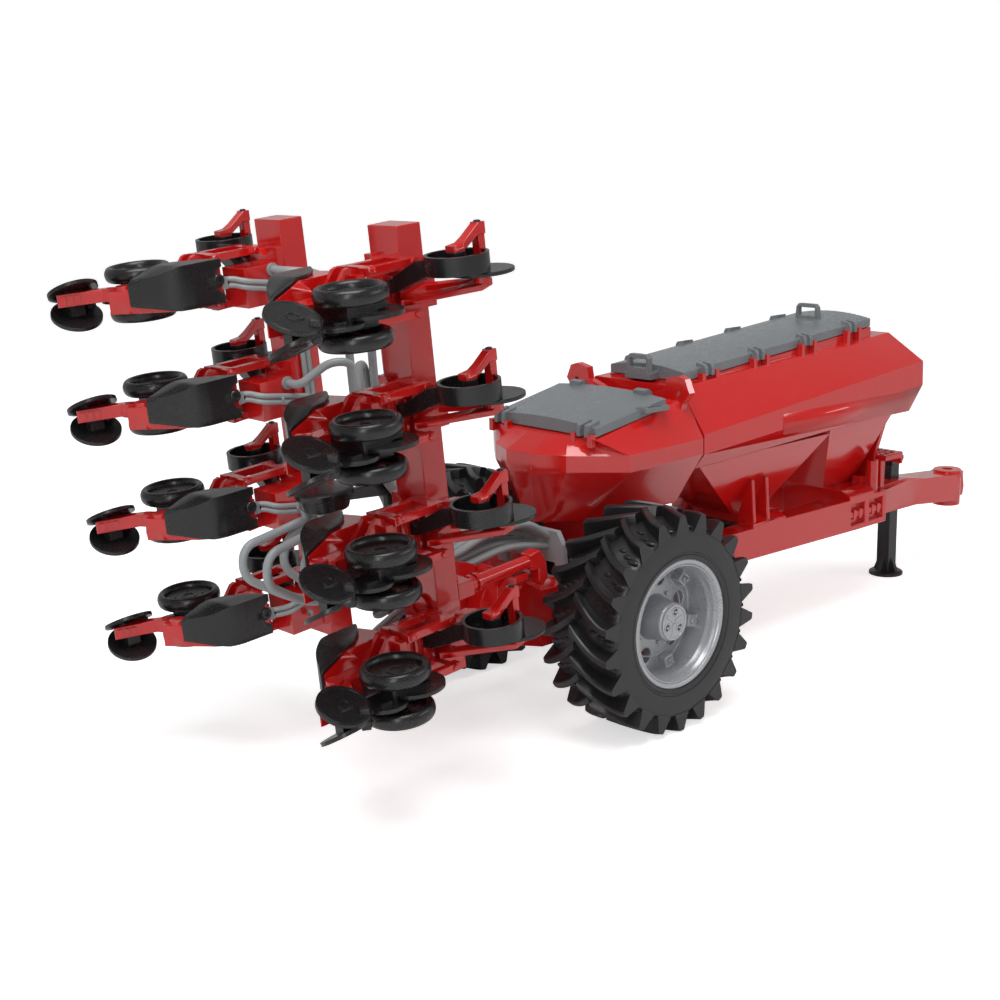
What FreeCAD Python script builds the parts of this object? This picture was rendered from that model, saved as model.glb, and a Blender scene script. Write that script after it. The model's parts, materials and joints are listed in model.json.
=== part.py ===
import FreeCAD, Part
import math
import os
import re

import Sketcher

Vector = FreeCAD.Vector

# Toy precision seeder at 1:16, standing as it is parked: wings folded up, jack down.
# Chassis frame: X forward to the drawbar, Y left, Z up, X = 0 at the wheel axle, ground at Z = 0.
# Toolbar frame: the chassis frame leaned back about the axle's ground line by bar_lean.

doc = FreeCAD.newDocument("precision_seeder")
sheet = doc.addObject("Spreadsheet::Sheet", "dims")

SIZES = [
    ("rear_reach", 201.9, "axle to the back of the folded toolbar's reach"),
    ("front_reach", 345.5, "axle to the drawbar's nose"),
    ("bar_lean", 5.5, "degrees the folded toolbar leans back"),
    ("fit_gap", 0.05, "radial clearance of a turning fit"),
    ("side_gap", 0.3, "running clearance between moving pieces"),
    # wheels
    ("tyre_radius", 49.0, "over the lugs"),
    ("tyre_width", 38.0, ""),
    ("tyre_tread_radius", 44.5, "between the lugs"),
    ("lug_count", 22, "lugs on each half of the tread"),
    ("tyre_shoulder", 41.0, "tread radius at the side wall"),
    ("lug_thick", 3.0, "tread bar thickness"),
    ("lug_foot", 4.2, "half width of a tread bar at the side wall"),
    ("lug_bend", 3.4, "how far forward a tread bar has bent half way in"),
    ("lug_reach", 12.5, "how far forward its inner end lies"),
    ("lug_cross", 1.5, "how far it passes the tyre's middle"),
    ("lug_draft", 0.7, "draft of its sides"),
    ("rim_radius", 28.4, "rim flange"),
    ("rim_wall", 1.6, ""),
    ("rim_well", 23.6, "inside of the rim's barrel"),
    ("rim_disc", 4.0, "wheel disc thickness"),
    ("rim_clamp_deep", 5.0, "clamp block, towards the axle"),
    ("rim_clamp_wide", 5.5, ""),
    ("rim_clamp_high", 5.0, ""),
    ("rim_slot_at", 17.5, "hand hole centre"),
    ("rim_slot_radius", 3.4, ""),
    ("track_half", 60.2, "axle centre to tyre centre"),
    ("axle_radius", 4.0, ""),
    ("hub_radius", 8.5, ""),
    ("hub_reach", 14.2, "hub end, out from the tyre's centre"),
    # chassis
    ("beam_inner", 16.0, "side beam inner face"),
    ("beam_outer", 28.0, "side beam outer face"),
    ("beam_low", 48.5, ""),
    ("beam_high", 61.5, ""),
    ("beam_rear", -34.0, ""),
    ("beam_front", 228.0, ""),
    ("cross_length", 14.0, "length of a cross member along the machine"),
    ("cross_gap", 2.0, "middle cross member to the metering unit ahead of it"),
    ("head_length", 34.0, "solid front head of the frame"),
    ("beam_fall", 4.5, "how far its underside falls to the front"),
    ("pocket_deep", 3.0, "windows in its front end"),
    ("gusset_x", 114.0, "tank brackets"),
    ("gusset_y", 20.5, ""),
    ("gusset_high", 85.0, ""),
    ("gusset_thick", 2.4, ""),
    ("gusset_pitch", 11.0, ""),
    ("step_x", 225.0, "access step"),
    ("step_y", 19.5, ""),
    ("step_high", 79.5, ""),
    ("step_deep", 21.0, ""),
    ("step_thick", 3.0, ""),
    ("step_post", 3.2, ""),
    ("bulkhead_x", 226.3, "panel under the tank's front"),
    ("bulkhead_thick", 3.0, ""),
    ("pole_half", 9.0, "drawbar half width"),
    ("pole_high", 57.0, "drawbar top at the frame"),
    ("pole_low", 40.5, "drawbar underside at the frame"),
    ("hitch_low", 31.0, "underside of the hitch boss"),
    ("hitch_high", 21.0, "height of the hitch boss"),
    ("hitch_x", 333.0, "hitch bore"),
    ("hitch_radius", 3.0, "hitch bore radius"),
    ("hitch_boss", 8.0, "hitch boss radius"),
    # jack
    ("jack_x", 271.8, ""),
    ("jack_side", 8.0, "jack leg, square side"),
    ("jack_top", 70.0, ""),
    ("jack_foot_radius", 9.6, ""),
    ("jack_foot_thick", 2.4, ""),
    ("jack_cap", 5.0, "jack cap height"),
    # tanks
    ("tank_split", 57.6, "joint between the two tanks"),
    ("tank_gap", 0.8, ""),
    ("tank_front", 229.0, ""),
    ("tank_wall", 2.2, "moulding wall"),
    ("tank_rear", -20.0, "rear tank's bowed back, at the middle"),
    ("rim_half_rear", 27.0, "front tank rim half width, rear end"),
    ("rim_half_front", 25.0, "front tank rim half width, front end"),
    ("rim_high_rear", 139.0, ""),
    ("rim_high_front", 146.6, ""),
    ("crease_half_rear", 42.0, "upper crease half width, rear end"),
    ("crease_half_front", 47.0, ""),
    ("crease_high_rear", 118.5, ""),
    ("crease_high_front", 133.5, ""),
    ("skirt_rear", 9.4, "upright band under the crease, rear end"),
    ("skirt_front", 12.8, ""),
    ("belly_half_rear", 36.0, ""),
    ("belly_half_front", 38.0, ""),
    ("belly_high_rear", 101.5, ""),
    ("belly_high_front", 107.0, ""),
    ("rear_corner", 5.4, "rear tank's crease corner"),
    ("rear_half", 44.0, ""),
    ("rear_crease_high", 117.0, ""),
    ("rear_belly_corner", 3.0, "its funnel, corner"),
    ("rear_belly_half", 17.0, ""),
    ("rear_belly_back", -13.0, ""),
    ("rear_belly_high", 84.0, ""),
    ("rear_belly_face", 25.0, ""),
    ("rear_rim_zero", 125.3, "rear tank's rim height over the axle"),
    ("rear_rim_slope", 0.1763, "its rise a millimetre"),
    ("rear_rim_face", 31.5, "its half width at the joint"),
    ("rear_rim_corner", -5.6, ""),
    ("rear_rim_back", -7.4, ""),
    ("ear_x", 50.5, "bracket ears behind the joint"),
    ("ear_y", 32.3, ""),
    ("ear_high", 137.7, ""),
    ("ear_thick", 4.0, ""),
    ("ear_eye", 1.4, ""),
    ("hopper_meet", 168.0, "where the two hoppers meet"),
    ("hopper_low", 66.0, "underside of the hoppers"),
    ("hopper_half", 12.0, "hopper outlet half width"),
    ("hopper_length", 26.0, "hopper outlet length"),
    ("hopper_rear_x", 128.0, "rear hopper centre"),
    ("hopper_front_x", 205.0, "front hopper centre"),
    ("rear_hopper_x", 26.0, "rear tank's outlet centre"),
    ("meter_high", 10.0, "metering unit height"),
    ("meter_past", 3.0, "metering unit past the hopper outlet"),
    # lids
    ("lid_thick", 4.2, "lid's edge"),
    ("lid_rise", 2.4, "arch over the edge"),
    ("lid_lap", 3.5, "how far the lid covers the rim"),
    ("seat_rear", 139.9, "front lid's seat at the lid's rear end"),
    ("seat_front", 150.9, "and at its front end"),
    ("clip_first", 81.0, "first clip along the front lid"),
    ("clip_pitch", 38.2, ""),
    ("clip_width", 7.0, "over the two fingers"),
    ("finger_thick", 2.2, ""),
    ("post_thick", 2.4, ""),
    ("post_deep", 3.4, "post's outer face to the lid's edge"),
    ("post_high", 2.6, ""),
    ("post_root", 3.0, ""),
    ("hinge_reach", 2.6, "fingers past the lid's edge"),
    ("hinge_foot", 0.6, "fingers' feet over the rim"),
    ("rear_clip_half", 26.5, ""),
    ("rear_ear_y", 20.5, ""),
    ("loop_half", 7.2, "lifting loops"),
    ("loop_high", 9.5, ""),
    ("loop_thick", 3.0, ""),
    ("tail_loop_x", 58.6, ""),
    ("nose_loop_x", 190.0, ""),
    ("front_lid_half", 23.3, ""),
    ("front_lid_rear", 65.0, ""),
    ("front_lid_front", 214.0, ""),
    ("rear_lid_half", 32.4, ""),
    ("rear_lid_rear", -4.0, ""),
    ("rear_lid_front", 40.0, ""),
    # toolbar and wings, toolbar frame
    ("bar_rear", -101.0, "wing beam rear face"),
    ("bar_depth", 11.5, "wing beam size along the machine"),
    ("bar_inner", 28.4, "wing beam face next to the middle"),
    ("bar_width", 17.5, "wing beam size across"),
    ("row_pitch", 46.9, "75 cm rows at 1:16"),
    ("row_first", 70.5, "lowest row's height when folded"),
    ("fold_half", 37.15, "fold pin to the machine's centre line"),
    ("fold_pin", 2.2, "fold pin radius"),
    ("fold_plate", 3.0, "hinge plate thickness"),
    ("fold_end_gap", 7.5, "cut off the beam's foot so that the two wings pass each other"),
    ("bar_tube", 12.0, "middle cross tube, size along the machine"),
    ("bar_tube_high", 14.0, ""),
    ("cheek_thick", 5.0, ""),
    ("strut_tube", 2.9, "lift strut radius"),
    ("strut_flange", 4.0, ""),
    ("strut_front", -42.0, "front end of the lift strut"),
    ("tail_end", -70.0, "rear end of the chassis tail"),
    ("pin_head", 1.5, "how far a pin's head stands out and over"),
    # row units, toolbar frame, heights from the row's middle
    ("head_wall", 2.0, "unit head plate"),
    ("arm_thick", 3.0, ""),
    ("arm_wide", 3.0, ""),
    ("arm_side", 10.0, "upper arms above the row's middle"),
    ("arm_drop", 9.3, "lower arms' underside below it"),
    ("arm_length", 26.0, ""),
    ("arm_inner", 42.0, "inner arm, its inner face"),
    ("arm_rise", 12.5, "between inner and outer arm"),
    ("fin_thick", 2.0, ""),
    ("cover_front", -130.0, "hood's front edge"),
    ("cover_bend", -148.0, ""),
    ("cover_tail", -162.0, ""),
    ("cover_inner", 29.5, "hood's face, from the middle"),
    ("cover_end", 48.0, ""),
    ("cover_wall", 1.2, ""),
    ("cover_top", 13.0, ""),
    ("cover_fall", 6.0, "how far the hood's top falls to its tail"),
    ("cover_drop", 4.5, ""),
    ("cover_notch_radius", 5.5, ""),
    ("unit_x", -143.8, "gauge wheel axle"),
    ("unit_y", 70.0, ""),
    ("gauge_radius", 13.5, ""),
    ("gauge_width", 6.0, ""),
    ("gauge_side", 7.9, "gauge wheel centre to the row's middle"),
    ("gauge_clear", 4.6, "half of what fits between the gauge wheels"),
    ("pin_radius", 1.6, "small wheel axles"),
    ("opener_radius", 12.0, ""),
    ("opener_small_radius", 8.5, ""),
    ("opener_drop", 13.8, "gauge wheel axle below the unit frame"),
    ("closer_x", -171.8, ""),
    ("closer_y", 73.7, ""),
    ("closer_radius", 10.2, ""),
    ("closer_side", 5.05, ""),
    ("closer_lean", 27.0, "degrees"),
    ("closer_toe", 4.3, "degrees"),
    ("tail_mid", 2.3, ""),
    ("tail_half", 2.6, ""),
    ("disc_thick", 1.5, ""),
    ("ring_x", -98.1, "coulter ring centre"),
    ("ring_y", 74.5, ""),
    ("ring_side", 11.0, "coulter ring above the row's middle"),
    ("ring_radius", 12.0, ""),
    ("ring_width", 7.0, ""),
    ("ring_wall", 1.4, ""),
    ("coulter_x", -86.8, "coulter disc axle"),
    ("coulter_y", 74.5, ""),
    ("coulter_radius", 12.3, ""),
    ("post_side", 3.6, ""),
    ("over_high", 24.0, "over-arm's top"),
    ("fork_thick", 2.5, ""),
    # moulded hoses, toolbar frame
    ("hose_radius", 1.75, "seed hoses"),
    ("hose_pitch", 3.8, "from hose to hose"),
    ("thin_radius", 1.1, "twin hoses along a wing"),
    ("thin_pitch", 2.5, ""),
    ("twin_drop", 4.0, "twin hoses at the wing beam, below the row's middle"),
    ("twin_rise", 2.5, "and at the hood, above it"),
    ("port_x", -106.7, "seed hose port on a unit's housing"),
    ("port_high", 4.5, ""),
    ("port_radius", 2.7, ""),
    ("spread_x", -116.0, "distributor"),
    ("spread_low", 122.5, ""),
    ("spread_radius", 12.0, ""),
    ("spread_neck", 3.0, "bracket from the distributor to the middle tube"),
    ("bundle_front", -7.0, "hose plate's rear face"),
    ("bundle_high", 91.5, "top of the hoses' run"),
    ("plate_half", 22.0, ""),
    ("plate_top", 83.6, ""),
    ("plate_foot", 62.6, ""),
]
for row, (alias, value, note) in enumerate(SIZES, 1):
    sheet.set(f"A{row}", alias)
    sheet.set(f"B{row}", str(value))
    sheet.set(f"C{row}", note)
    sheet.setAlias(f"B{row}", alias)
doc.recompute()
KNOWN = re.compile(r"\b(" + "|".join(alias for alias, _, _ in SIZES) + r")\b")


def size(alias):
    return float(sheet.get(alias))


def tie(obj, prop, formula):
    obj.setExpression(prop, KNOWN.sub(r"dims.\1", str(formula)))


def tie_base(obj, at):
    for axis, formula in zip("xyz", at):
        tie(obj, f"Placement.Base.{axis}", formula)


TURNS = {
    "x": FreeCAD.Rotation(Vector(0, 1, 0), 90),
    "y": FreeCAD.Rotation(Vector(1, 0, 0), -90),
    "z": FreeCAD.Rotation(),
}
taken = {}


def named(kind, name):
    taken[name] = taken.get(name, 0) + 1
    return doc.addObject(kind, name if taken[name] == 1 else f"{name}_{taken[name]}")


def box(name, low, high):
    """A block between two corners given as formulas."""
    obj = named("Part::Box", name)
    for prop, a, b in zip(("Length", "Width", "Height"), low, high):
        tie(obj, prop, f"({b}) - ({a})")
    tie_base(obj, low)
    return obj


def rod(name, axis, start, radius, length):
    obj = named("Part::Cylinder", name)
    obj.Placement.Rotation = TURNS[axis]
    tie(obj, "Radius", radius)
    tie(obj, "Height", length)
    tie_base(obj, start)
    return obj


def fuse(name, *parts):
    obj = named("Part::MultiFuse", name)
    obj.Shapes = list(parts)
    return obj


def cut(name, base, *tools):
    obj = named("Part::Cut", name)
    obj.Base = base
    obj.Tool = tools[0] if len(tools) == 1 else fuse(name + "_tools", *tools)
    return obj


def mirrored(name, source):
    obj = named("Part::Mirroring", name)
    obj.Source = source
    obj.Normal = Vector(0, 1, 0)
    return obj


def outline(name, plane, points):
    """A closed sketch whose corners sit at pairs of formulas."""
    sketch = named("Sketcher::SketchObject", name)
    sketch.Placement = {
        "xy": FreeCAD.Placement(),
        "xz": FreeCAD.Placement(Vector(), FreeCAD.Rotation(Vector(1, 0, 0), 90)),
        "yz": FreeCAD.Placement(Vector(), FreeCAD.Rotation(0.5, 0.5, 0.5, 0.5)),
    }[plane]
    count = len(points)
    spots = []
    for u, v in points:
        spots.append(Vector(solve(u), solve(v), 0))
    for i in range(count):
        sketch.addGeometry(Part.LineSegment(spots[i], spots[(i + 1) % count]), False)
    for i in range(count):
        sketch.addConstraint(Sketcher.Constraint("Coincident", i, 2, (i + 1) % count, 1))
    for i, (u, v) in enumerate(points):
        for kind, formula, value in (("DistanceX", u, spots[i].x), ("DistanceY", v, spots[i].y)):
            index = sketch.addConstraint(Sketcher.Constraint(kind, -1, 1, i, 1, value))
            tie(sketch, f"Constraints[{index}]", formula)
    return sketch


def solve(formula):
    """The present value of a formula over the sheet."""
    text = KNOWN.sub(lambda m: repr(size(m.group(1))), str(formula))
    return float(FreeCAD.Units.parseQuantity(text).Value)


def slab(name, plane, points, start, thick):
    """An outline pushed out from start by thick along the plane's normal."""
    sketch = outline(name + "_outline", plane, points)
    normal, axis = {"xy": ((0, 0, 1), "z"), "xz": ((0, 1, 0), "y"), "yz": ((1, 0, 0), "x")}[plane]
    tie(sketch, f"Placement.Base.{axis}", start)
    obj = named("Part::Extrusion", name)
    obj.Base = sketch
    obj.DirMode = "Custom"
    obj.Dir = Vector(*normal)
    obj.Solid = True
    tie(obj, "LengthFwd", thick)
    return obj


def spun(name, axis, centre, points):
    """A closed outline of (radius, along) pairs turned about an axis through centre."""
    plane, turn = {"y": ("xy", (0, 1, 0)), "z": ("xz", (0, 0, 1))}[axis]
    sketch = outline(name + "_outline", plane, points)
    obj = named("Part::Revolution", name)
    obj.Source = sketch
    obj.Axis = Vector(*turn)
    obj.Base = Vector()
    obj.Angle = 360
    obj.Solid = True
    tie_base(obj, centre)
    return obj


def loft(name, *sketches):
    obj = named("Part::Loft", name)
    obj.Sections = list(sketches)
    obj.Solid = True
    obj.Ruled = True
    return obj


def linked(name, source, *shift):
    obj = named("App::Link", name)
    obj.LinkedObject = source
    obj.LinkTransform = True
    tie_base(obj, shift)
    return obj


def group(name, *parts):
    obj = named("Part::Compound", name)
    obj.Links = list(parts)
    return obj


def common(name, *parts):
    obj = named("Part::MultiCommon", name)
    obj.Shapes = list(parts)
    return obj


def tilted_disc(name, x, y, z, radius, thick, lean, toe):
    """A disc whose axis leans out and forward of the row's own."""
    obj = named("Part::Cylinder", name)
    turn = FreeCAD.Rotation(Vector(1, 0, 0), -lean)
    obj.Placement.Rotation = FreeCAD.Rotation(Vector(0, 1, 0), toe).multiply(turn)
    tie(obj, "Radius", radius)
    tie(obj, "Height", thick)
    tie_base(obj, (x, y, z))
    return obj


def hose(name, radius, *spots):
    """A round hose through the spots, its corners rounded by tangent arcs."""
    spots = [Vector(*[solve(formula) for formula in spot]) for spot in spots]
    edges, here = [], spots[0]
    for before, corner, after in zip(spots, spots[1:], spots[2:]):
        come, leave = corner - before, after - corner
        reach = 0.45 * min(come.Length, leave.Length)
        come.normalize()
        leave.normalize()
        half_turn = come.getAngle(leave) / 2
        bend = reach / math.tan(half_turn)
        inward = (leave - come).normalize()
        middle = corner + inward * (bend / math.cos(half_turn) - bend)
        start, end = corner - come * reach, corner + leave * reach
        edges += [Part.makeLine(here, start), Part.Arc(start, middle, end).toShape()]
        here = end
    edges.append(Part.makeLine(here, spots[-1]))
    path = named("Part::Feature", name + "_path")
    path.Shape = Part.Wire(edges)
    ring = named("Part::Circle", name + "_ring")
    tie(ring, "Radius", radius)
    ring.Placement = FreeCAD.Placement(spots[0], FreeCAD.Rotation(Vector(0, 0, 1), spots[1] - spots[0]))
    obj = named("Part::Sweep", name)
    obj.Sections = [ring]
    obj.Spine = (path, [f"Edge{k + 1}" for k in range(len(edges))])
    obj.Solid = True
    return obj


nodes = []
FOLD_HIGH = "(row_first - row_pitch / 2 + fold_half)"


def node(label, source, frame="chassis"):
    """A finished piece in the part's own frame, X = 0 midway along the machine."""
    obj = group(label, source)
    obj.Label = label
    tie(obj, "Placement.Base.x", "(rear_reach - front_reach) / 2")
    if frame == "toolbar":
        obj.Placement.Rotation = FreeCAD.Rotation(Vector(0, -1, 0), size("bar_lean"))
        tie(obj, "Placement.Rotation.Angle", "bar_lean")
    nodes.append(obj)
    return obj


def rows(name, source):
    """The same piece at each of a wing's four rows."""
    return group(name, *[linked(f"{name}_{k}", source, "0", "0", f"{k} * row_pitch") for k in range(4)])


# ---------------------------------------------------------------- wheels
def lug(name, high, shrink):
    """One bent tread bar as seen from above the tyre, smaller towards its top."""
    half = "tyre_width / 2"
    mid = f"{half} / 2"
    points = [
        (f"-lug_foot + {shrink} * 2", half), (f"-lug_thick / 2 + lug_bend + {shrink}", mid),
        (f"lug_reach - lug_thick + {shrink} / 2", f"-lug_cross + {shrink} / 2"),
        (f"lug_reach - {shrink} / 2", f"-lug_cross + {shrink} / 2"),
        (f"lug_reach - {shrink} / 2", f"lug_thick - lug_cross - {shrink} / 2"),
        (f"lug_thick / 2 + lug_bend - {shrink}", f"{mid} + lug_thick / 2"),
        (f"lug_foot - {shrink} * 2", half),
    ]
    sketch = outline(name, "xy", points)
    tie(sketch, "Placement.Base.z", high)
    return sketch


def wheel():
    half = "tyre_width / 2"
    carcass = spun("tyre_carcass", "y", ("0", "0", "0"), [
        ("rim_radius + side_gap / 10", f"-{half} + 1.0"),
        ("rim_radius + 6", f"-{half}"),
        ("tyre_shoulder", f"-{half}"),
        ("tyre_tread_radius - 1.2", f"-{half} / 2"),
        ("tyre_tread_radius", "0"),
        ("tyre_tread_radius - 1.2", f"{half} / 2"),
        ("tyre_shoulder", half),
        ("rim_radius + 6", half),
        ("rim_radius + side_gap / 10", f"{half} - 1.0"),
    ])
    top = "sqrt(tyre_radius * tyre_radius - lug_reach * lug_reach)"
    bar = loft("tread_bar", lug("tread_bar_foot", "tyre_shoulder - 4", "0"), lug("tread_bar_top", top, "lug_draft"))
    other = linked("tread_bar_other", mirrored("tread_bar_mirror", bar), "0", "0", "0")
    bars = []
    step = 360 / size("lug_count")
    for k in range(int(size("lug_count"))):
        for part, turn in ((bar, k * step), (other, (k + 0.5) * step)):
            one = linked(f"tread_{k}", part, "0", "0", "0")
            one.LinkTransform = False
            one.Placement = FreeCAD.Placement(Vector(), FreeCAD.Rotation(Vector(0, 1, 0), turn))
            bars.append(one)
    tyre_mid = fuse("tyre_all", carcass, *bars)
    tie_base(tyre_mid, ("0", "track_half", "tyre_radius"))

    rim = spun("rim_shape", "y", ("0", "0", "0"), [
        ("axle_radius + fit_gap", "-6"),
        ("hub_radius", "-6"),
        ("hub_radius + 2", "-rim_disc / 2"),
        ("rim_well", "-rim_disc / 2"),
        ("rim_radius - rim_wall * 2", f"-{half} + 3"),
        ("rim_radius - rim_wall", f"-{half} + 1.5"),
        ("rim_radius", f"-{half} + 1.5"),
        ("rim_radius", f"{half} - 0.8"),
        ("rim_radius - rim_wall", f"{half} - 0.8"),
        ("rim_radius - rim_wall * 2", f"{half} - 3"),
        ("rim_radius - rim_wall * 2.4", f"{half} - 5"),
        ("rim_well", f"{half} - 7"),
        ("rim_well", "rim_disc / 2"),
        ("hub_radius + 1.5", "rim_disc / 2"),
        ("hub_radius", "hub_reach - 1"),
        ("hub_radius - 1", "hub_reach"),
        ("axle_radius + fit_gap", "hub_reach"),
    ])
    clamp = box("rim_clamp", ("rim_well - rim_clamp_deep", "rim_disc / 2", "-rim_clamp_wide / 2"),
                ("rim_well + 0.5", "rim_disc / 2 + rim_clamp_high", "rim_clamp_wide / 2"))
    slot = rod("rim_slot", "y", ("rim_slot_at", "-rim_disc", "0"), "rim_slot_radius", "2 * rim_disc")
    clamps, slots = [], []
    for k in range(6):
        for part, turn, into in ((clamp, k * 60 + 15, clamps), (slot, k * 60 + 45, slots)):
            one = linked(f"{part.Name}_{k}", part, "0", "0", "0")
            one.LinkTransform = True
            one.Placement = FreeCAD.Placement(Vector(), FreeCAD.Rotation(Vector(0, 1, 0), turn))
            into.append(one)
    rim_mid = cut("rim_all", fuse("rim_solid", rim, *clamps), *slots)
    tie_base(rim_mid, ("0", "track_half", "tyre_radius"))
    node("tyre_left", tyre_mid)
    node("rim_left", rim_mid)
    node("tyre_right", mirrored("tyre_mirror", tyre_mid))
    node("rim_right", mirrored("rim_mirror", rim_mid))


def axle():
    reach = "(track_half + hub_reach - 1)"
    node("axle", rod("axle_bar", "y", ("0", f"-{reach}", "tyre_radius"), "axle_radius", f"2 * {reach}"))


# ---------------------------------------------------------------- chassis
def chassis():
    bar = slab("side_beam", "xz", [
        ("beam_rear", "beam_low"), ("beam_front - 24", "beam_low - beam_fall"),
        ("beam_front", "beam_low - beam_fall"), ("beam_front", "beam_high"), ("beam_rear", "beam_high"),
    ], "beam_inner", "beam_outer - beam_inner")
    pockets = [
        box(f"beam_pocket_{k}", (f"beam_front - {start}", "beam_outer - pocket_deep", "beam_low - beam_fall + 3"),
            (f"beam_front - {start} + 12.5", "beam_outer + 1", "beam_high - 3"))
        for k, start in enumerate(("32.5", "16"))
    ]
    rungs = [
        box(f"pocket_rib_{k}", (f"beam_front - {start}", "beam_outer - pocket_deep - 0.5", "beam_low + 2.5"),
            (f"beam_front - {start} + 12.5", "beam_outer - 0.8", "beam_low + 5.5"))
        for k, start in enumerate(("32.5", "16"))
    ]
    webs = [
        box(f"pocket_web_{k}", (f"beam_front - {start}", "beam_outer - pocket_deep - 0.5", "beam_low + 1.5"),
            (f"beam_front - {start} + 2.4", "beam_outer - 0.4", "beam_low + 6.5"))
        for k, start in enumerate(("29.5", "24.5", "13", "8"))
    ]
    left = fuse("side_beam_all", cut("side_beam_pockets", bar, *pockets), *rungs, *webs)
    crosses = [
        box(f"cross_{i}", (at, "-beam_inner", "beam_low + 2"), (f"{at} + cross_length", "beam_inner", "beam_high - 2"))
        for i, at in enumerate((
            "beam_rear", "(hopper_rear_x - hopper_length / 2 - meter_past - cross_gap - cross_length)",
        ))
    ]
    head = box("frame_head", ("beam_front - head_length", "-beam_inner", "beam_low"),
               ("beam_front", "beam_inner", "beam_high"))
    tail = slab("tail_plate", "xz", [
        ("-20", "beam_high"), ("beam_rear", "beam_high"), ("-62", "78"), ("-70", "64"), ("-70", "48"),
        ("-60", "43"), ("beam_rear", "35.5"), ("-20", "35.5"),
    ], "beam_outer - 4 - cheek_thick", "cheek_thick + 4")
    saddles = [
        slab(f"saddle_{i}", "yz", [
            ("-beam_outer", "beam_high"), ("beam_outer", "beam_high"), ("beam_outer", "beam_high + 1.6"),
            ("beam_outer - 6", "hopper_low"), ("6 - beam_outer", "hopper_low"), ("-beam_outer", "beam_high + 1.6"),
        ], f"{mid} - hopper_length / 2 + 2", "hopper_length - 4")
        for i, mid in enumerate(("hopper_rear_x", "hopper_front_x", "rear_hopper_x"))
    ]
    gussets = [
        slab(f"gusset_{k}", "yz", [
            ("beam_outer - 1", "beam_high - 1"), ("beam_outer - 1", "beam_high + 1.6"),
            ("gusset_y + 5", "gusset_high"), ("gusset_y + 3.5", "gusset_high"), ("gusset_y - 3.5", "beam_high + 6"),
            ("gusset_y - 3.5", "beam_high"),
        ], f"gusset_x + {shift}", "gusset_thick")
        for k, shift in enumerate(("0", "gusset_pitch"))
    ]
    foot = box("gusset_foot", ("gusset_x - 1.5", "beam_outer - 7", "beam_high - 1"),
               ("gusset_x + gusset_pitch + gusset_thick + 2", "beam_outer", "beam_high + 2"))
    socket = box("funnel_socket", ("hopper_front_x + hopper_length / 2 - 4", "beam_inner - 1", "beam_high - 1"),
                 ("hopper_front_x + hopper_length / 2 + 3", "beam_inner + 5", "beam_high + 8.5"))
    cradle = slab("strut_cradle", "yz", [
        ("beam_outer - 1", "beam_low + 8"), ("beam_outer + 1", "beam_low + 8"), ("fold_half - 1", "beam_low + 21"),
        ("fold_half + 2.5", "beam_low + 24"), ("fold_half + 2.5", "beam_low + 27"), ("fold_half - 3", "beam_low + 27"),
        ("beam_outer + 1", "beam_low + 20"), ("beam_outer - 1", "beam_low + 20"),
    ], "-60", "7")
    half = fuse("frame_side", left, tail, *gussets, foot, socket, cradle)
    lamp = rod("step_post", "z", ("step_x - 5", "-step_y - 3.8", "beam_high - 1"), "step_post", "step_high - beam_high")
    bulkhead = slab("front_bulkhead", "yz", [
        ("-beam_inner - 4", "beam_high - 1"), ("beam_inner + 4", "beam_high - 1"),
        ("beam_inner + 4", "step_high"), ("beam_inner + 12", "belly_high_front - 0.5"),
        ("-beam_inner - 12", "belly_high_front - 0.5"), ("-beam_inner - 4", "step_high"),
    ], "bulkhead_x", "bulkhead_thick")
    frame = fuse("frame_all", half, mirrored("frame_side_right", half), head, *crosses, *saddles, lamp, bulkhead)
    bore = rod("axle_bore", "y", ("0", "-beam_outer - 1", "tyre_radius"), "axle_radius + fit_gap",
               "2 * beam_outer + 2")
    node("main_frame", cut("main_frame_bored", frame, bore))

    tread = box("step_tread", ("bulkhead_x + bulkhead_thick + side_gap", "-step_y - 6", "step_high - step_thick"),
                ("step_x + step_deep", "-step_y + 12", "step_high"))
    riser = box("step_riser", ("bulkhead_x + bulkhead_thick + side_gap", "-step_y - 3", "beam_high"),
                ("bulkhead_x + bulkhead_thick + 4", "-step_y + 11", "step_high"))
    lip = box("step_lip", ("step_x + step_deep - 1.6", "-step_y - 6", "step_high - 6.5"),
              ("step_x + step_deep", "-step_y + 12", "step_high"))
    studs = [
        box(f"step_stud_{i}_{j}", (f"step_x + {5 + 5 * i}", f"{4 * j} - step_y - 3", "step_high - 1"),
            (f"step_x + {7.5 + 5 * i}", f"{4 * j} - step_y - 1.4", "step_high + 0.6"))
        for i in range(3) for j in range(4)
    ]
    node("access_step", fuse("step_all", tread, riser, lip, *studs))

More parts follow.
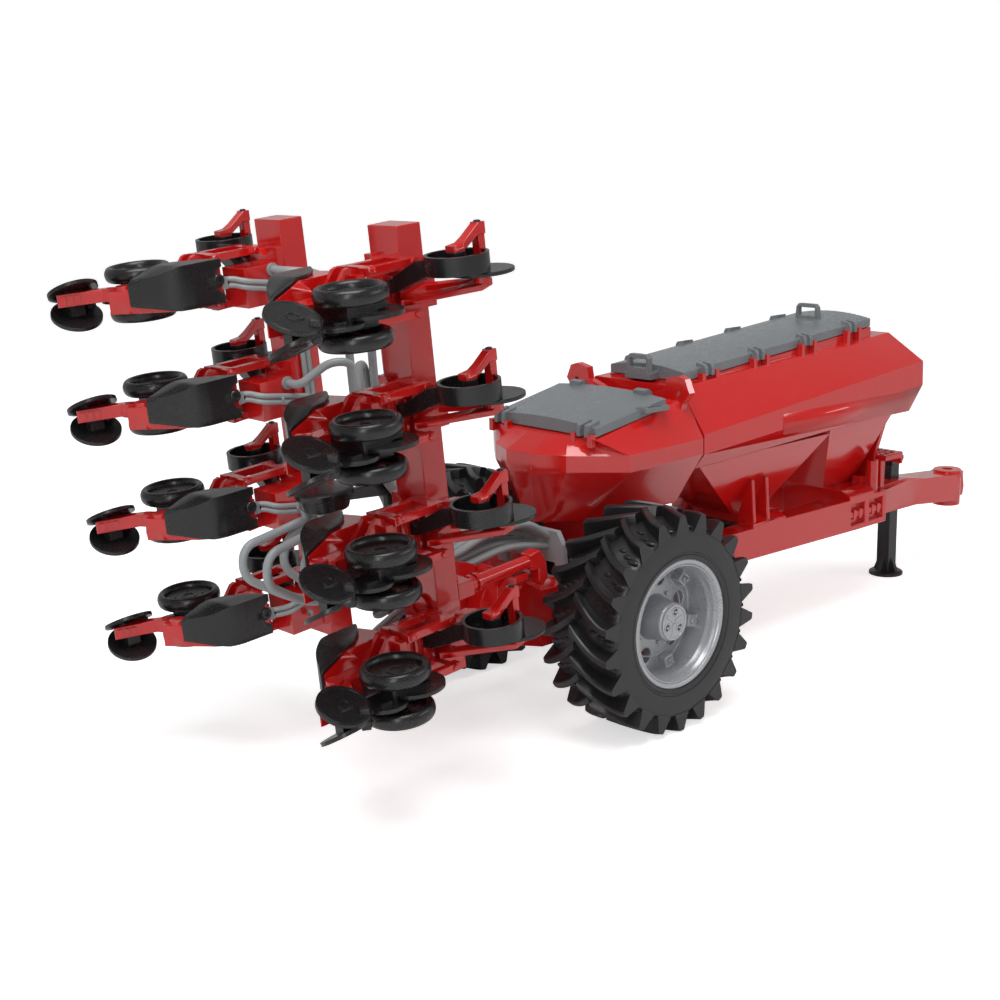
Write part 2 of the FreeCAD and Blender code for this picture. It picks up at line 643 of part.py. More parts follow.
    pole = slab("pole", "xz", [
        ("beam_front", "pole_low"), ("jack_x + 15", "pole_low - 1"), ("hitch_x", "hitch_low + 3"),
        ("hitch_x", "hitch_low + hitch_high - 2"), ("jack_x + 24", "pole_high - 3.5"),
        ("jack_x + 4", "pole_high"), ("beam_front", "pole_high"),
    ], "-pole_half", "2 * pole_half")
    wings = slab("pole_root", "xy", [
        ("beam_front", "-beam_inner"), ("beam_front + 12", "-beam_inner"), ("jack_x + 6", "-pole_half"),
        ("jack_x + 6", "pole_half"), ("beam_front + 12", "beam_inner"), ("beam_front", "beam_inner"),
    ], "pole_low + 2", "pole_high - pole_low - 3")
    boss = rod("hitch_boss_rod", "z", ("hitch_x", "0", "hitch_low"), "hitch_boss", "hitch_high")
    collar = rod("hitch_collar", "z", ("hitch_x", "0", "hitch_low + hitch_high - 4"), "hitch_boss + 1.4", "2.6")
    nose = slab("hitch_nose", "xz", [
        ("hitch_x", "hitch_low + 2"), ("front_reach - 1", "hitch_low + 4"), ("front_reach", "hitch_low + 9"),
        ("front_reach - 1.5", "hitch_low + hitch_high - 4"), ("hitch_x", "hitch_low + hitch_high - 2"),
    ], "-hitch_boss / 2", "hitch_boss")
    hole = rod("hitch_bore", "z", ("hitch_x", "0", "0"), "hitch_radius", "100")
    slot = box("jack_slot", ("jack_x - jack_side / 2 - side_gap", "-jack_side / 2 - side_gap", "0"),
               ("jack_x + jack_side / 2 + side_gap", "jack_side / 2 + side_gap", "100"))
    node("drawbar", cut("drawbar_cut", fuse("drawbar_all", pole, wings, boss, collar, nose), hole, slot))


def metering():
    units = [
        box(f"meter_{i}", (f"{mid} - hopper_length / 2 - meter_past", "-beam_inner", "beam_high - meter_high"),
            (f"{mid} + hopper_length / 2 + meter_past", "beam_inner", "beam_high"))
        for i, mid in enumerate(("hopper_rear_x", "rear_hopper_x"))
    ]
    node("metering_units", group("meters", *units))


def jack():
    leg = box("jack_leg_bar", ("jack_x - jack_side / 2", "-jack_side / 2", "jack_foot_thick"),
              ("jack_x + jack_side / 2", "jack_side / 2", "jack_top"))
    foot = spun("jack_foot", "z", ("jack_x", "0", "0"), [
        ("0", "0"), ("jack_foot_radius", "0"), ("jack_foot_radius", "jack_foot_thick * 0.6"),
        ("jack_foot_radius - 1.6", "jack_foot_thick"), ("0", "jack_foot_thick"),
    ])
    ribs = [
        slab(f"jack_rib_{k}", plane, [
            (f"{at}jack_foot_radius - 1.8", "jack_foot_thick - 0.5"), (f"{at}jack_side / 2", "jack_foot_thick + 8"),
            (f"{at}jack_side / 2 - 1", "jack_foot_thick + 8"), (f"{at}jack_side / 2 - 1", "jack_foot_thick - 0.5"),
        ] if side > 0 else [
            (f"{at}1.8 - jack_foot_radius", "jack_foot_thick - 0.5"), (f"{at}0 - jack_side / 2", "jack_foot_thick + 8"),
            (f"{at}1 - jack_side / 2", "jack_foot_thick + 8"), (f"{at}1 - jack_side / 2", "jack_foot_thick - 0.5"),
        ], start, "2.4")
        for k, (plane, at, side, start) in enumerate((
            ("xz", "jack_x + ", 1, "-1.2"), ("xz", "jack_x + ", -1, "-1.2"),
            ("yz", "", 1, "jack_x - 1.2"), ("yz", "", -1, "jack_x - 1.2"),
        ))
    ]
    cap = loft(
        "jack_cap_shape",
        jack_square("jack_cap_low", "jack_side / 2 + 0.8", "jack_top - jack_cap"),
        jack_square("jack_cap_mid", "jack_side / 2 + 1.6", "jack_top - jack_cap * 0.4"),
        jack_square("jack_cap_high", "jack_side / 2 + 1.6", "jack_top"),
    )
    node("jack_leg", fuse("jack_all", leg, foot, *ribs, cap))


def jack_square(name, half, height):
    sketch = outline(name, "xy", [
        (f"jack_x - ({half})", f"-({half})"), (f"jack_x + {half}", f"-({half})"),
        (f"jack_x + {half}", half), (f"jack_x - ({half})", half),
    ])
    tie(sketch, "Placement.Base.z", height)
    return sketch


# ---------------------------------------------------------------- tanks
def tank_section(name, at, top, top_half, crease, crease_half, skirt, belly, belly_half):
    points = [
        (f"-({top_half})", top), (f"-({crease_half})", crease), (f"-({crease_half})", f"{crease} - {skirt}"),
        (f"-({belly_half})", belly), (belly_half, belly),
        (crease_half, f"{crease} - {skirt}"), (crease_half, crease), (top_half, top),
    ]
    sketch = outline(name, "yz", points)
    tie(sketch, "Placement.Base.x", at)
    return sketch


def floor_section(name, x0, x1, half, height):
    sketch = outline(name, "xy", [(x0, f"-({half})"), (x1, f"-({half})"), (x1, half), (x0, half)])
    tie(sketch, "Placement.Base.z", height)
    return sketch


def front_shell(name, inset):
    """The front tank's outer form, or with an inset the space inside its walls."""
    sections = [
        tank_section(
            f"{name}_{end}", at, f"rim_high_{end} - {inset}", f"rim_half_{end} - {inset}", f"crease_high_{end}",
            f"crease_half_{end} - {inset} * 1.2", f"skirt_{end}", f"belly_high_{end} + {inset}",
            f"belly_half_{end} - {inset}",
        )
        for end, at in (("rear", f"tank_split + tank_gap / 2 + {inset}"), ("front", f"tank_front - {inset}"))
    ]
    return loft(name, *sections)


def bowed_section(name, height, face, corner, half, back, inset, tilt=None):
    """A level cut through the rear tank: flat at the joint, bowed at the back."""
    edge = f"tank_split - tank_gap / 2 - {inset}"
    sketch = outline(name, "xy", [
        (edge, f"{inset} - {face}"), (f"{corner} + {inset}", f"{inset} * 1.2 - {half}"),
        (f"{corner} + {inset} - ({corner} - {back}) * 0.72", f"{half} * -0.52"), (f"{back} + {inset}", "-0.18 * " + half),
        (f"{back} + {inset}", "0.18 * " + half), (f"{corner} + {inset} - ({corner} - {back}) * 0.72", f"{half} * 0.52"),
        (f"{corner} + {inset}", f"{half} - {inset} * 1.2"), (edge, f"{face} - {inset}"),
    ])
    tie(sketch, "Placement.Base.z", height)
    if tilt:
        sketch.Placement.Rotation = FreeCAD.Rotation(Vector(0, 1, 0), -math.degrees(math.atan(size(tilt))))
    return sketch


def rear_shell(name, inset):
    foot = bowed_section(f"{name}_foot", f"rear_belly_high + {inset}", "rear_belly_face", "rear_belly_corner",
                         "rear_belly_half", "rear_belly_back", inset)
    low = bowed_section(f"{name}_low", "rear_crease_high - skirt_rear + 2", "crease_half_rear", "rear_corner",
                        "rear_half", "tank_rear", inset)
    high = bowed_section(f"{name}_high", "rear_crease_high", "crease_half_rear", "rear_corner", "rear_half",
                         "tank_rear", inset)
    rim = bowed_section(f"{name}_rim", f"rear_rim_zero - {inset}", "rear_rim_face", "rear_rim_corner",
                        "(rear_lid_half + 1.6)", "rear_rim_back", inset, "rear_rim_slope")
    return loft(name, foot, low, high, rim)


FRONT_SLOPE = "((rim_high_front - rim_high_rear) / (tank_front - tank_split - tank_gap / 2))"


def front_rim(x):
    return f"rim_high_rear + ({x} - tank_split - tank_gap / 2) * {FRONT_SLOPE}"


def seat(x):
    """The raised frame that the front lid lies on."""
    rise = "((seat_front - seat_rear) / (front_lid_front - front_lid_rear))"
    return f"seat_rear + ({x} - front_lid_rear) * {rise}"


def rear_rim(x):
    return f"rear_rim_zero + ({x}) * rear_rim_slope"


def tanks():
    hollow = [front_shell("front_tank_space", "tank_wall")]
    lap = "lid_lap"
    hollow.append(box("front_mouth", (f"front_lid_rear + {lap}", f"{lap} - front_lid_half", "crease_high_rear"),
                      (f"front_lid_front - {lap}", f"front_lid_half - {lap}", "rim_high_front + 10")))
    frame = slab("lid_seat", "xz", [
        ("front_lid_rear - 0.5", front_rim("front_lid_rear") + " - post_root"),
        ("front_lid_rear - 0.5", "seat_rear"), ("front_lid_front + 0.5", "seat_front"),
        ("front_lid_front + 0.5", front_rim("front_lid_front") + " - post_root"),
    ], "-front_lid_half - 0.1", "2 * front_lid_half + 0.2")
    parts = [cut("front_tank_hollow", fuse("front_tank_closed", front_shell("front_tank_shell", "0"), frame),
                 *hollow)]
    for tag, x0, x1, mid in (("rear", "tank_split + tank_gap / 2 + 6", "hopper_meet", "hopper_rear_x"),
                             ("front", "hopper_meet", "tank_front - 3", "hopper_front_x")):
        top = floor_section(f"hopper_{tag}_top", x0, x1, "belly_half_rear - 3", f"belly_high_{tag} + tank_wall / 4")
        low = floor_section(f"hopper_{tag}_low", f"{mid} - hopper_length / 2", f"{mid} + hopper_length / 2",
                            "hopper_half", "hopper_low")
        parts.append(loft(f"hopper_{tag}", low, top))
    for k in range(4):
        x = f"(clip_first + {k} * clip_pitch)"
        for side in ("", "-"):
            for shift in ("-clip_width / 2 - side_gap - post_thick", "clip_width / 2 + side_gap"):
                inner, outer = ("front_lid_half + side_gap", "front_lid_half + post_deep")
                y0, y1 = (inner, outer) if not side else (f"-({outer})", f"-({inner})")
                start = f"{x} + {shift}"
                parts.append(box(f"clip_post_{k}", (start, y0, front_rim(start) + " - post_root"),
                                 (f"{start} + post_thick", y1, seat(start) + " + post_high")))
    node("front_tank", fuse("front_tank_all", *parts))

    mouth = box("rear_mouth", (f"rear_lid_rear + {lap}", f"{lap} - rear_lid_half", "rear_crease_high - 2"),
                (f"rear_lid_front - {lap}", f"rear_lid_half - {lap}", "rim_high_rear + 10"))
    body = cut("rear_tank_hollow", rear_shell("rear_tank_shell", "0"), rear_shell("rear_tank_space", "tank_wall"),
               mouth)
    top = floor_section("rear_hopper_top", "rear_belly_corner + 2", "tank_split - tank_gap / 2 - 4",
                        "rear_belly_half - 1", "rear_belly_high + tank_wall / 4")
    low = floor_section("rear_hopper_low", "rear_hopper_x - hopper_length / 2",
                        "rear_hopper_x + hopper_length / 2", "hopper_half", "hopper_low")
    posts = []
    for k, y in enumerate(("rear_clip_half", "-rear_clip_half")):
        for shift in ("-clip_width / 2 - side_gap - post_thick", "clip_width / 2 + side_gap"):
            start = f"{y} + {shift}"
            x0 = "(rear_lid_rear - post_deep)"
            posts.append(box(f"rear_post_{k}", (x0, start, rear_rim(x0) + " - post_root"),
                             ("rear_lid_rear - side_gap", f"{start} + post_thick", rear_rim(x0) + " + post_high")))
    ears = []
    for side in ("", "-"):
        ears.append(slab("tank_ear", "yz", [
            (f"{side}1 * (ear_y - 24)", "ear_high - 4"), (f"{side}1 * (ear_y - 8)", "ear_high + 1"),
            (f"{side}1 * (ear_y - 7)", "ear_high + 6.5"), (f"{side}1 * ear_y", "ear_high + 8"),
            (f"{side}1 * (ear_y + 4)", "ear_high + 6.8"), (f"{side}1 * (ear_y + 6.8)", "ear_high + 0.5"),
            (f"{side}1 * (ear_y + 5)", "ear_high - 2"), (f"{side}1 * (ear_y + 2.5)", "ear_high - 5"),
            (f"{side}1 * (ear_y + 1)", "ear_high - 11"), (f"{side}1 * (ear_y - 5)", "ear_high - 11"),
            (f"{side}1 * (ear_y - 24)", "ear_high - 6"),
        ], "ear_x", "ear_thick"))
    eyes = [rod(f"ear_eye_{k}", "x", ("ear_x - 1", f"{side}1 * ear_y", "ear_high"), "ear_eye", "ear_thick + 2")
            for k, side in enumerate(("", "-"))]
    body = fuse("rear_tank_all", body, loft("rear_hopper", low, top), *posts, *ears)
    node("rear_tank", cut("rear_tank_eyed", body, *eyes))


# ---------------------------------------------------------------- lids
def arched_section(name, at, half, low, edge, rise):
    """A lid's cross-section: flat under, its top a shallow arch of radius set by rise."""
    sketch = named("Sketcher::SketchObject", name)
    sketch.Placement.Rotation = FreeCAD.Rotation(0.5, 0.5, 0.5, 0.5)
    h, z, e, r = (solve(v) for v in (half, low, edge, rise))
    spots = [Vector(-h, z + e, 0), Vector(-h, z, 0), Vector(h, z, 0), Vector(h, z + e, 0)]
    for a, b in zip(spots, spots[1:]):
        sketch.addGeometry(Part.LineSegment(a, b), False)
    sketch.addGeometry(Part.Arc(spots[3], Vector(0, z + e + r, 0), spots[0]), False)
    for a, b in ((0, 1), (1, 2)):
        sketch.addConstraint(Sketcher.Constraint("Coincident", a, 2, b, 1))
    ends = sketch.Geometry[3]
    first, last = (1, 2) if ends.StartPoint.x > 0 else (2, 1)
    sketch.addConstraint(Sketcher.Constraint("Coincident", 3, first, 2, 2))
    sketch.addConstraint(Sketcher.Constraint("Coincident", 3, last, 0, 1))
    radius = (h * h + r * r) / (2 * r)
    for kind, i, spot, formula, value in (
        ("DistanceX", 0, 1, f"-({half})", -h), ("DistanceY", 0, 1, f"{low} + {edge}", z + e),
        ("DistanceX", 1, 1, f"-({half})", -h), ("DistanceY", 1, 1, low, z),
        ("DistanceX", 2, 1, half, h), ("DistanceY", 2, 1, low, z),
        ("DistanceX", 2, 2, half, h), ("DistanceY", 2, 2, f"{low} + {edge}", z + e),
    ):
        index = sketch.addConstraint(Sketcher.Constraint(kind, -1, 1, i, spot, value))
        tie(sketch, f"Constraints[{index}]", formula)
    index = sketch.addConstraint(Sketcher.Constraint("Radius", 3, radius))
    tie(sketch, f"Constraints[{index}]", f"(({half}) * ({half}) + ({rise}) * ({rise})) / (2 * ({rise}))")
    tie(sketch, "Placement.Base.x", at)
    return sketch


def lifting_loop(name, x, foot):
    plate = slab(f"{name}_plate", "yz", [
        ("-loop_half", foot), ("loop_half", foot), ("loop_half - 0.6", f"{foot} + loop_high - 1.6"),
        ("loop_half - 2.2", f"{foot} + loop_high"), ("2.2 - loop_half", f"{foot} + loop_high"),
        ("0.6 - loop_half", f"{foot} + loop_high - 1.6"),
    ], x, "loop_thick")
    eye = box(f"{name}_eye", (f"{x} - 1", "1.9 - loop_half", f"{foot} + loop_high - 6.3"),
              (f"{x} + loop_thick + 1", "loop_half - 1.9", f"{foot} + loop_high - 1.9"))
    return cut(name, plate, eye)


def lids():
    sections = [
        arched_section(f"front_lid_{tag}", x, "front_lid_half", seat(x) + " + side_gap", "lid_thick",
                       "lid_rise")
        for tag, x in (("tail", "front_lid_rear"), ("nose", "front_lid_front"))
    ]
    parts = [loft("front_lid_shape", *sections)]
    for k in range(4):
        x = f"(clip_first + {k} * clip_pitch)"
        for side in ("", "-"):
            foot = seat(x) + " + hinge_foot"
            for shift in ("-clip_width / 2", "clip_width / 2 - finger_thick"):
                reach = "front_lid_half + hinge_reach"
                parts.append(slab(f"lid_finger_{k}", "yz", [
                    (f"{side}1 * (front_lid_half - 3)", seat(x) + " + lid_thick - 1"),
                    (f"{side}1 * (front_lid_half - 3)", seat(x) + " + lid_thick + 2.4"),
                    (f"{side}1 * ({reach} - 1)", seat(x) + " + lid_thick + 1.6"),
                    (f"{side}1 * ({reach})", seat(x) + " + lid_thick"), (f"{side}1 * ({reach})", foot),
                    (f"{side}1 * (front_lid_half + side_gap * 2)", foot),
                    (f"{side}1 * (front_lid_half - 1)", seat(x) + " + lid_thick - 1"),
                ], f"{x} + {shift}", "finger_thick"))
    parts.append(slab("lid_tongue", "xz", [
        ("tail_loop_x", seat("front_lid_rear") + " + side_gap"),
        ("front_lid_rear + 2", seat("front_lid_rear") + " + side_gap + 0.3"),
        ("front_lid_rear + 2", seat("front_lid_rear") + " + lid_thick"),
        ("tail_loop_x", seat("front_lid_rear") + " + lid_thick - 1"),
    ], "-loop_half - 1", "2 * loop_half + 2"))
    parts.append(lifting_loop("tail_loop", "tail_loop_x", seat("tail_loop_x") + " + 3"))
    parts.append(lifting_loop("nose_loop", "nose_loop_x", seat("nose_loop_x") + " + lid_thick + lid_rise - 1.5"))
    node("front_lid", fuse("front_lid_all", *parts))

    tilt = [
        arched_section(f"rear_lid_{tag}", x, f"rear_lid_half + {wide}", rear_rim(x) + " + side_gap", "lid_thick",
                       "lid_rise - 0.6")
        for tag, x, wide in (("tail", "rear_lid_rear", "0"), ("nose", "rear_lid_front", "1.8"))
    ]
    parts = [loft("rear_lid_shape", *tilt)]
    for k, y in enumerate(("rear_clip_half", "-rear_clip_half")):
        for shift in ("-clip_width / 2", "clip_width / 2 - finger_thick"):
            x = "rear_lid_rear"
            parts.append(slab(f"rear_finger_{k}", "xz", [
                (f"{x} + 5", rear_rim(x) + " + lid_thick"), (f"{x} + 5", rear_rim(x) + " + lid_thick + 3"),
                (f"{x} - hinge_reach + 0.6", rear_rim(x) + " + lid_thick + 1.4"),
                (f"{x} - hinge_reach", rear_rim(x) + " + lid_thick - 0.5"),
                (f"{x} - hinge_reach", rear_rim(x) + " + hinge_foot"),
                (f"{x} + 0.6", rear_rim(x) + " + hinge_foot"),
            ], f"{y} + {shift}", "finger_thick"))
    handle = slab("rear_lid_handle", "xy", [
        ("rear_lid_front - 17", "-rear_lid_half - 4.6"), ("rear_lid_front - 15.5", "-rear_lid_half - 6.4"),
        ("rear_lid_front - 3.5", "-rear_lid_half - 7"), ("rear_lid_front - 2", "-rear_lid_half - 5"),
        ("rear_lid_front - 2", "1 - rear_lid_half"), ("rear_lid_front - 17", "1 - rear_lid_half"),
    ], rear_rim("rear_lid_front") + " + 0.5", "2")
    grip = box("rear_lid_grip", ("rear_lid_front - 14.4", "-rear_lid_half - 5", rear_rim("rear_lid_front") + " - 2"),
               ("rear_lid_front - 4.6", "-rear_lid_half - 2.4", rear_rim("rear_lid_front") + " + 4"))
    parts.append(cut("rear_lid_handle_open", handle, grip))
    for k, y in enumerate(("rear_ear_y - clip_width / 2", "-rear_ear_y - clip_width / 2")):
        parts.append(slab(f"rear_lid_ear_{k}", "xz", [
            ("rear_lid_front - 3", rear_rim("rear_lid_front") + " + lid_thick"),
            ("rear_lid_front + 2.4", rear_rim("rear_lid_front") + " + lid_thick - 1"),
            ("rear_lid_front + 2.4", rear_rim("rear_lid_front") + " + lid_thick + 2"),
            ("rear_lid_front", rear_rim("rear_lid_front") + " + lid_thick + 3.6"),
            ("rear_lid_front - 3", rear_rim("rear_lid_front") + " + lid_thick + 3"),
        ], y, "clip_width"))
    node("rear_lid", fuse("rear_lid_all", *parts))


# ---------------------------------------------------------------- toolbar
OUTER = "(bar_inner + bar_width)"
FRONT = "(bar_rear + bar_depth)"


def at(height):
    """A height given from the middle of the lowest row."""
    return f"row_first + ({height})"


def toolbar():
    plate_x = f"({FRONT} + side_gap)"
    tube_x = f"({plate_x} + fold_plate)"
    low, high = f"{FOLD_HIGH} - bar_tube_high / 2", f"{FOLD_HIGH} + bar_tube_high / 2"
    middle = box("bar_tube_block", (tube_x, "-beam_outer", low), (f"{tube_x} + bar_tube", "beam_outer", high))
    plate = box("hinge_plate", (plate_x, "beam_outer - 6", low), (tube_x, "fold_half + 5", high))
    lug_block = slab("hinge_lug", "xy", [
        (tube_x, "beam_outer - 1"), (f"{tube_x} + bar_tube - 3", "beam_outer - 1"),
        (f"{tube_x} + bar_tube - 3", "fold_half + 4"), (tube_x, "fold_half + 4"),
    ], f"{FOLD_HIGH} - strut_flange + 0.5", "2 * strut_flange - 1")
    pin = rod("hinge_pin", "x", ("bar_rear - side_gap - pin_head", "fold_half", FOLD_HIGH), "fold_pin",
              f"{plate_x} - bar_rear + side_gap + pin_head")
    cap = rod("hinge_pin_head", "x", ("bar_rear - side_gap - pin_head", "fold_half", FOLD_HIGH),
              "fold_pin + pin_head", "pin_head")
    cheek = slab("bar_cheek", "xz", [
        (tube_x, low), ("tail_end + 8", f"{low} - 21"), ("tail_end + 30", "55"), ("tail_end + 34", "69"),
        ("tail_end + 12", f"{high} - 7"), (f"{tube_x} + bar_tube", high), (tube_x, high),
    ], "beam_outer - 9 - cheek_thick", "cheek_thick")
    side = fuse("bar_side", plate, lug_block, pin, cap, cheek)
    node("toolbar_centre", fuse("toolbar_all", middle, side, mirrored("bar_side_right", side)), "toolbar")

    start = f"({tube_x} + bar_tube - 3)"
    strut = fuse(
        "lift_strut",
        rod("strut_barrel", "x", (start, "fold_half", FOLD_HIGH), "strut_tube", f"strut_front - {start}"),
        rod("strut_foot", "x", (start, "fold_half", FOLD_HIGH), "strut_flange", "2"),
        rod("strut_collar", "x", (f"{start} + 3.5", "fold_half", FOLD_HIGH), "strut_flange", "1.8"),
        slab("strut_clip", "xz", [
            ("strut_front - 2", f"{FOLD_HIGH} + 3.4"), ("strut_front + 4", f"{FOLD_HIGH} + 4"),
            ("strut_front + 7", f"{FOLD_HIGH} - 1"), ("strut_front + 7.5", f"{FOLD_HIGH} - 9"),
            ("strut_front + 4", f"{FOLD_HIGH} - 12"), ("strut_front + 2", f"{FOLD_HIGH} - 9"),
            ("strut_front + 2.4", f"{FOLD_HIGH} - 4"), ("strut_front - 2", f"{FOLD_HIGH} - 3.4"),
        ], "fold_half - strut_tube", "2 * strut_tube"),
    )
    node("lift_struts", group("struts", strut, mirrored("lift_strut_right", strut)), "toolbar")


# ---------------------------------------------------------------- hoses held by the toolbar
def bundle():
    """Seed hoses from a plate under the rear tank back to the middle tube."""
    end = f"({FRONT} + side_gap + fold_plate + bar_tube)"
    tubes = []
    for k in range(-3, 4):
        y = f"{k} * hose_pitch"
        tubes.append(hose(f"bundle_top_{k + 3}", "hose_radius", ("bundle_front", f"{y} * 1.1", "plate_top - 3"),
                          ("bundle_front - 12", f"{y} * 1.1", "bundle_high - 1"), ("bundle_front - 36", y, "bundle_high"),
                          (f"{end} + 14", y, f"{FOLD_HIGH} + 3.2"), (end, y, f"{FOLD_HIGH} + 3.2")))
    for k in range(-3, 4, 2):
        y = f"{k} * hose_pitch"
        tubes.append(hose(f"bundle_low_{k + 3}", "hose_radius", ("bundle_front", y, "plate_top - 8"),
                          ("bundle_front - 24", y, "plate_top - 1"), (f"{end} + 20", y, f"{FOLD_HIGH} - 3.2"),
                          (end, y, f"{FOLD_HIGH} - 3.2")))
    ties = [
        box(f"bundle_tie_{k}", (x, "-3 * hose_pitch - hose_radius - 0.3", "bundle_high - 2.1"),
            (f"{x} + 1.2", "3 * hose_pitch + hose_radius + 0.3", "bundle_high + 2.05"))
        for k, x in enumerate(("bundle_front - 22", "bundle_front - 34"))
    ]
    plate = slab("hose_plate", "yz", [
        ("-plate_half", "plate_foot"), ("6 - plate_half", "plate_foot"), ("6 - plate_half", "plate_foot + 6"),
        ("plate_half - 6", "plate_foot + 6"), ("plate_half - 6", "plate_foot"), ("plate_half", "plate_foot"),
        ("plate_half", "plate_top - 6"), ("plate_half - 3", "plate_top"), ("3 - plate_half", "plate_top"),
        ("-plate_half", "plate_top - 6"),
    ], "bundle_front - 0.5", "2.5")
    node("hose_bundle", fuse("bundle_all", plate, *tubes, *ties), "toolbar")


def distributor():
    """The black seed distributor on its bracket, and the hoses that loop from it."""
    tube_x = f"({FRONT} + side_gap + fold_plate)"
    tube_top = f"({FOLD_HIGH} + bar_tube_high / 2)"
    head = spun("spread_head", "z", ("spread_x", "0", "spread_low"), [
        ("0", "0"), ("spread_radius - 2.5", "0"), ("spread_radius - 1", "5"), ("spread_radius", "5.4"),
        ("spread_radius", "7.4"), ("spread_radius - 1.4", "8.2"), ("spread_radius - 6", "8.6"), ("0", "8.8"),
    ])
    neck = slab("spread_bracket", "xz", [
        ("spread_x + 6", "spread_low + 1"), (f"{tube_x} + 0.5", "spread_low - 3"), (f"{tube_x} + 0.5", tube_top),
        (f"{tube_x} + 3.2", tube_top), (f"{tube_x} + 3.2", "spread_low - 1.4"), (f"{tube_x} - 1", "spread_low + 3"),
        ("spread_x + 6", "spread_low + 5"),
    ], "-spread_neck / 2", "spread_neck")
    node("distributor", fuse("spread_all", head, neck), "toolbar")

    loops = []
    for tag, side in (("left", ""), ("right", "-")):
        wide_y, tight_y = f"{side}5.5", f"{side}7.8"
        loops.append(hose(
            f"loop_wide_{tag}", "hose_radius", ("spread_x - 6.5", wide_y, "spread_low"),
            ("spread_x - 6.5", wide_y, "spread_low - 4"), ("spread_x - 17", f"{side}7.5", "spread_low - 6"),
            ("spread_x - 36", f"{side}8.5", "spread_low - 8"), ("spread_x - 38", f"{side}8", "spread_low - 20"),
            ("spread_x - 14", f"{side}2", f"{FOLD_HIGH} + 0.6"), (tube_x, f"{side}2", f"{FOLD_HIGH} + 0.6")))
        loops.append(hose(
            f"loop_tight_{tag}", "hose_radius", ("spread_x - 1", tight_y, "spread_low"),
            ("spread_x - 1", tight_y, "spread_low - 5"), ("spread_x - 16", f"{side}8", "spread_low - 11"),
            ("spread_x - 20", f"{side}6.5", "spread_low - 21"), ("spread_x - 8", f"{side}2", f"{FOLD_HIGH} + 4.6"),
            (tube_x, f"{side}2", f"{FOLD_HIGH} + 4.6")))
    node("seed_hoses_loops", group("loops", *loops), "toolbar")

    risers = []
    for tag, side in (("left", ""), ("right", "-")):
        for row, off in ((2, "3.6"), (3, "3.6 + hose_pitch")):
            high = at(f"{row} * row_pitch + port_high")
            y = f"{side}({off})"
            if row == 2:
                top = [("port_x + 8", f"{side}9", f"{high} + 9"), (f"{tube_x} - 5", y, f"{high} + 8"),
                       (f"{tube_x} - 4.2", y, f"{high} - 14")]
            else:
                top = [("port_x + 10", f"{side}11", f"{high} - 2"), (f"{tube_x} - 2", y, f"{high} - 12"),
                       (f"{tube_x} - 3.4", y, f"{high} - 35"), (f"{tube_x} - 3.8", y, f"{high} - 60")]
            risers.append(hose(
                f"riser_{tag}_{row}", "hose_radius", ("port_x", f"{side}(bar_inner - side_gap)", high),
                ("port_x", f"{side}(bar_inner - 8)", high), *top, (f"{tube_x} - 4", y, "spread_low + 8"),
                (f"{tube_x} + 7.5", y, "spread_low - 8"), (f"{tube_x} + 7.5", y, tube_top)))
    strap = box("riser_tie", (f"{tube_x} + 5.4", "-9.6", f"{tube_top} + 6"), (f"{tube_x} + 9.6", "9.6", f"{tube_top} + 7.4"))
    node("seed_hoses_risers", fuse("risers", *risers, strap), "toolbar")


def wing_hoses():
    """Twin hoses from each hood to the wing beam, with the ports of the seed hoses."""
    y = "(bar_inner - thin_radius - side_gap)"
    trunk_x = "(bar_rear + 3.6)"
    parts = [
        rod(f"twin_trunk_{k}", "z", (f"{trunk_x} + {k - 0.5} * thin_pitch", y, at("8")), "thin_radius",
            "3 * row_pitch - 8 - twin_drop + thin_pitch")
        for k in (0, 1)
    ]
    for row in range(4):
        z = f"{row} * row_pitch"
        foot = at(f"{z} + 12" if row == 0 else f"{z} - twin_drop")
        bend = at(f"{z} + 4" if row == 0 else f"{z} + 1")
        mid = at(f"{z} + twin_rise")
        parts.append(slab(f"twin_socket_{row}", "xy", [
            ("cover_front + 0.5", "cover_inner + cover_wall + 1.3"), ("cover_front + 1.94", "cover_inner + cover_wall + 5.3"),
            ("cover_front + 3.6", "cover_inner + cover_wall + 5.3"), ("cover_front + 3.6", "cover_inner + cover_wall + 1.3"),
        ], f"{mid} - 2.3", "4.6"))
        for k in (0, 1):
            lift = f"{k - 0.5} * thin_pitch"
            parts.append(hose(
                f"twin_{row}_{k}", "thin_radius", ("cover_front + 3", "cover_inner + 4.5", f"{mid} + {lift}"),
                ("cover_front + 6", "cover_inner + 2.5", f"{mid} + {lift}"),
                ("cover_front + 9.5", y, f"{bend} + {lift}"), (trunk_x, y, f"{foot} + {lift}")))
        if row > 1:
            parts.append(rod(f"port_{row}", "y", ("port_x", "bar_inner", at(f"{z} + port_high")), "port_radius", "1"))
    return group("twin_all", fuse("twin_fused", *[p for p in parts if "port" not in p.Name]),
                 *[p for p in parts if "port" in p.Name])


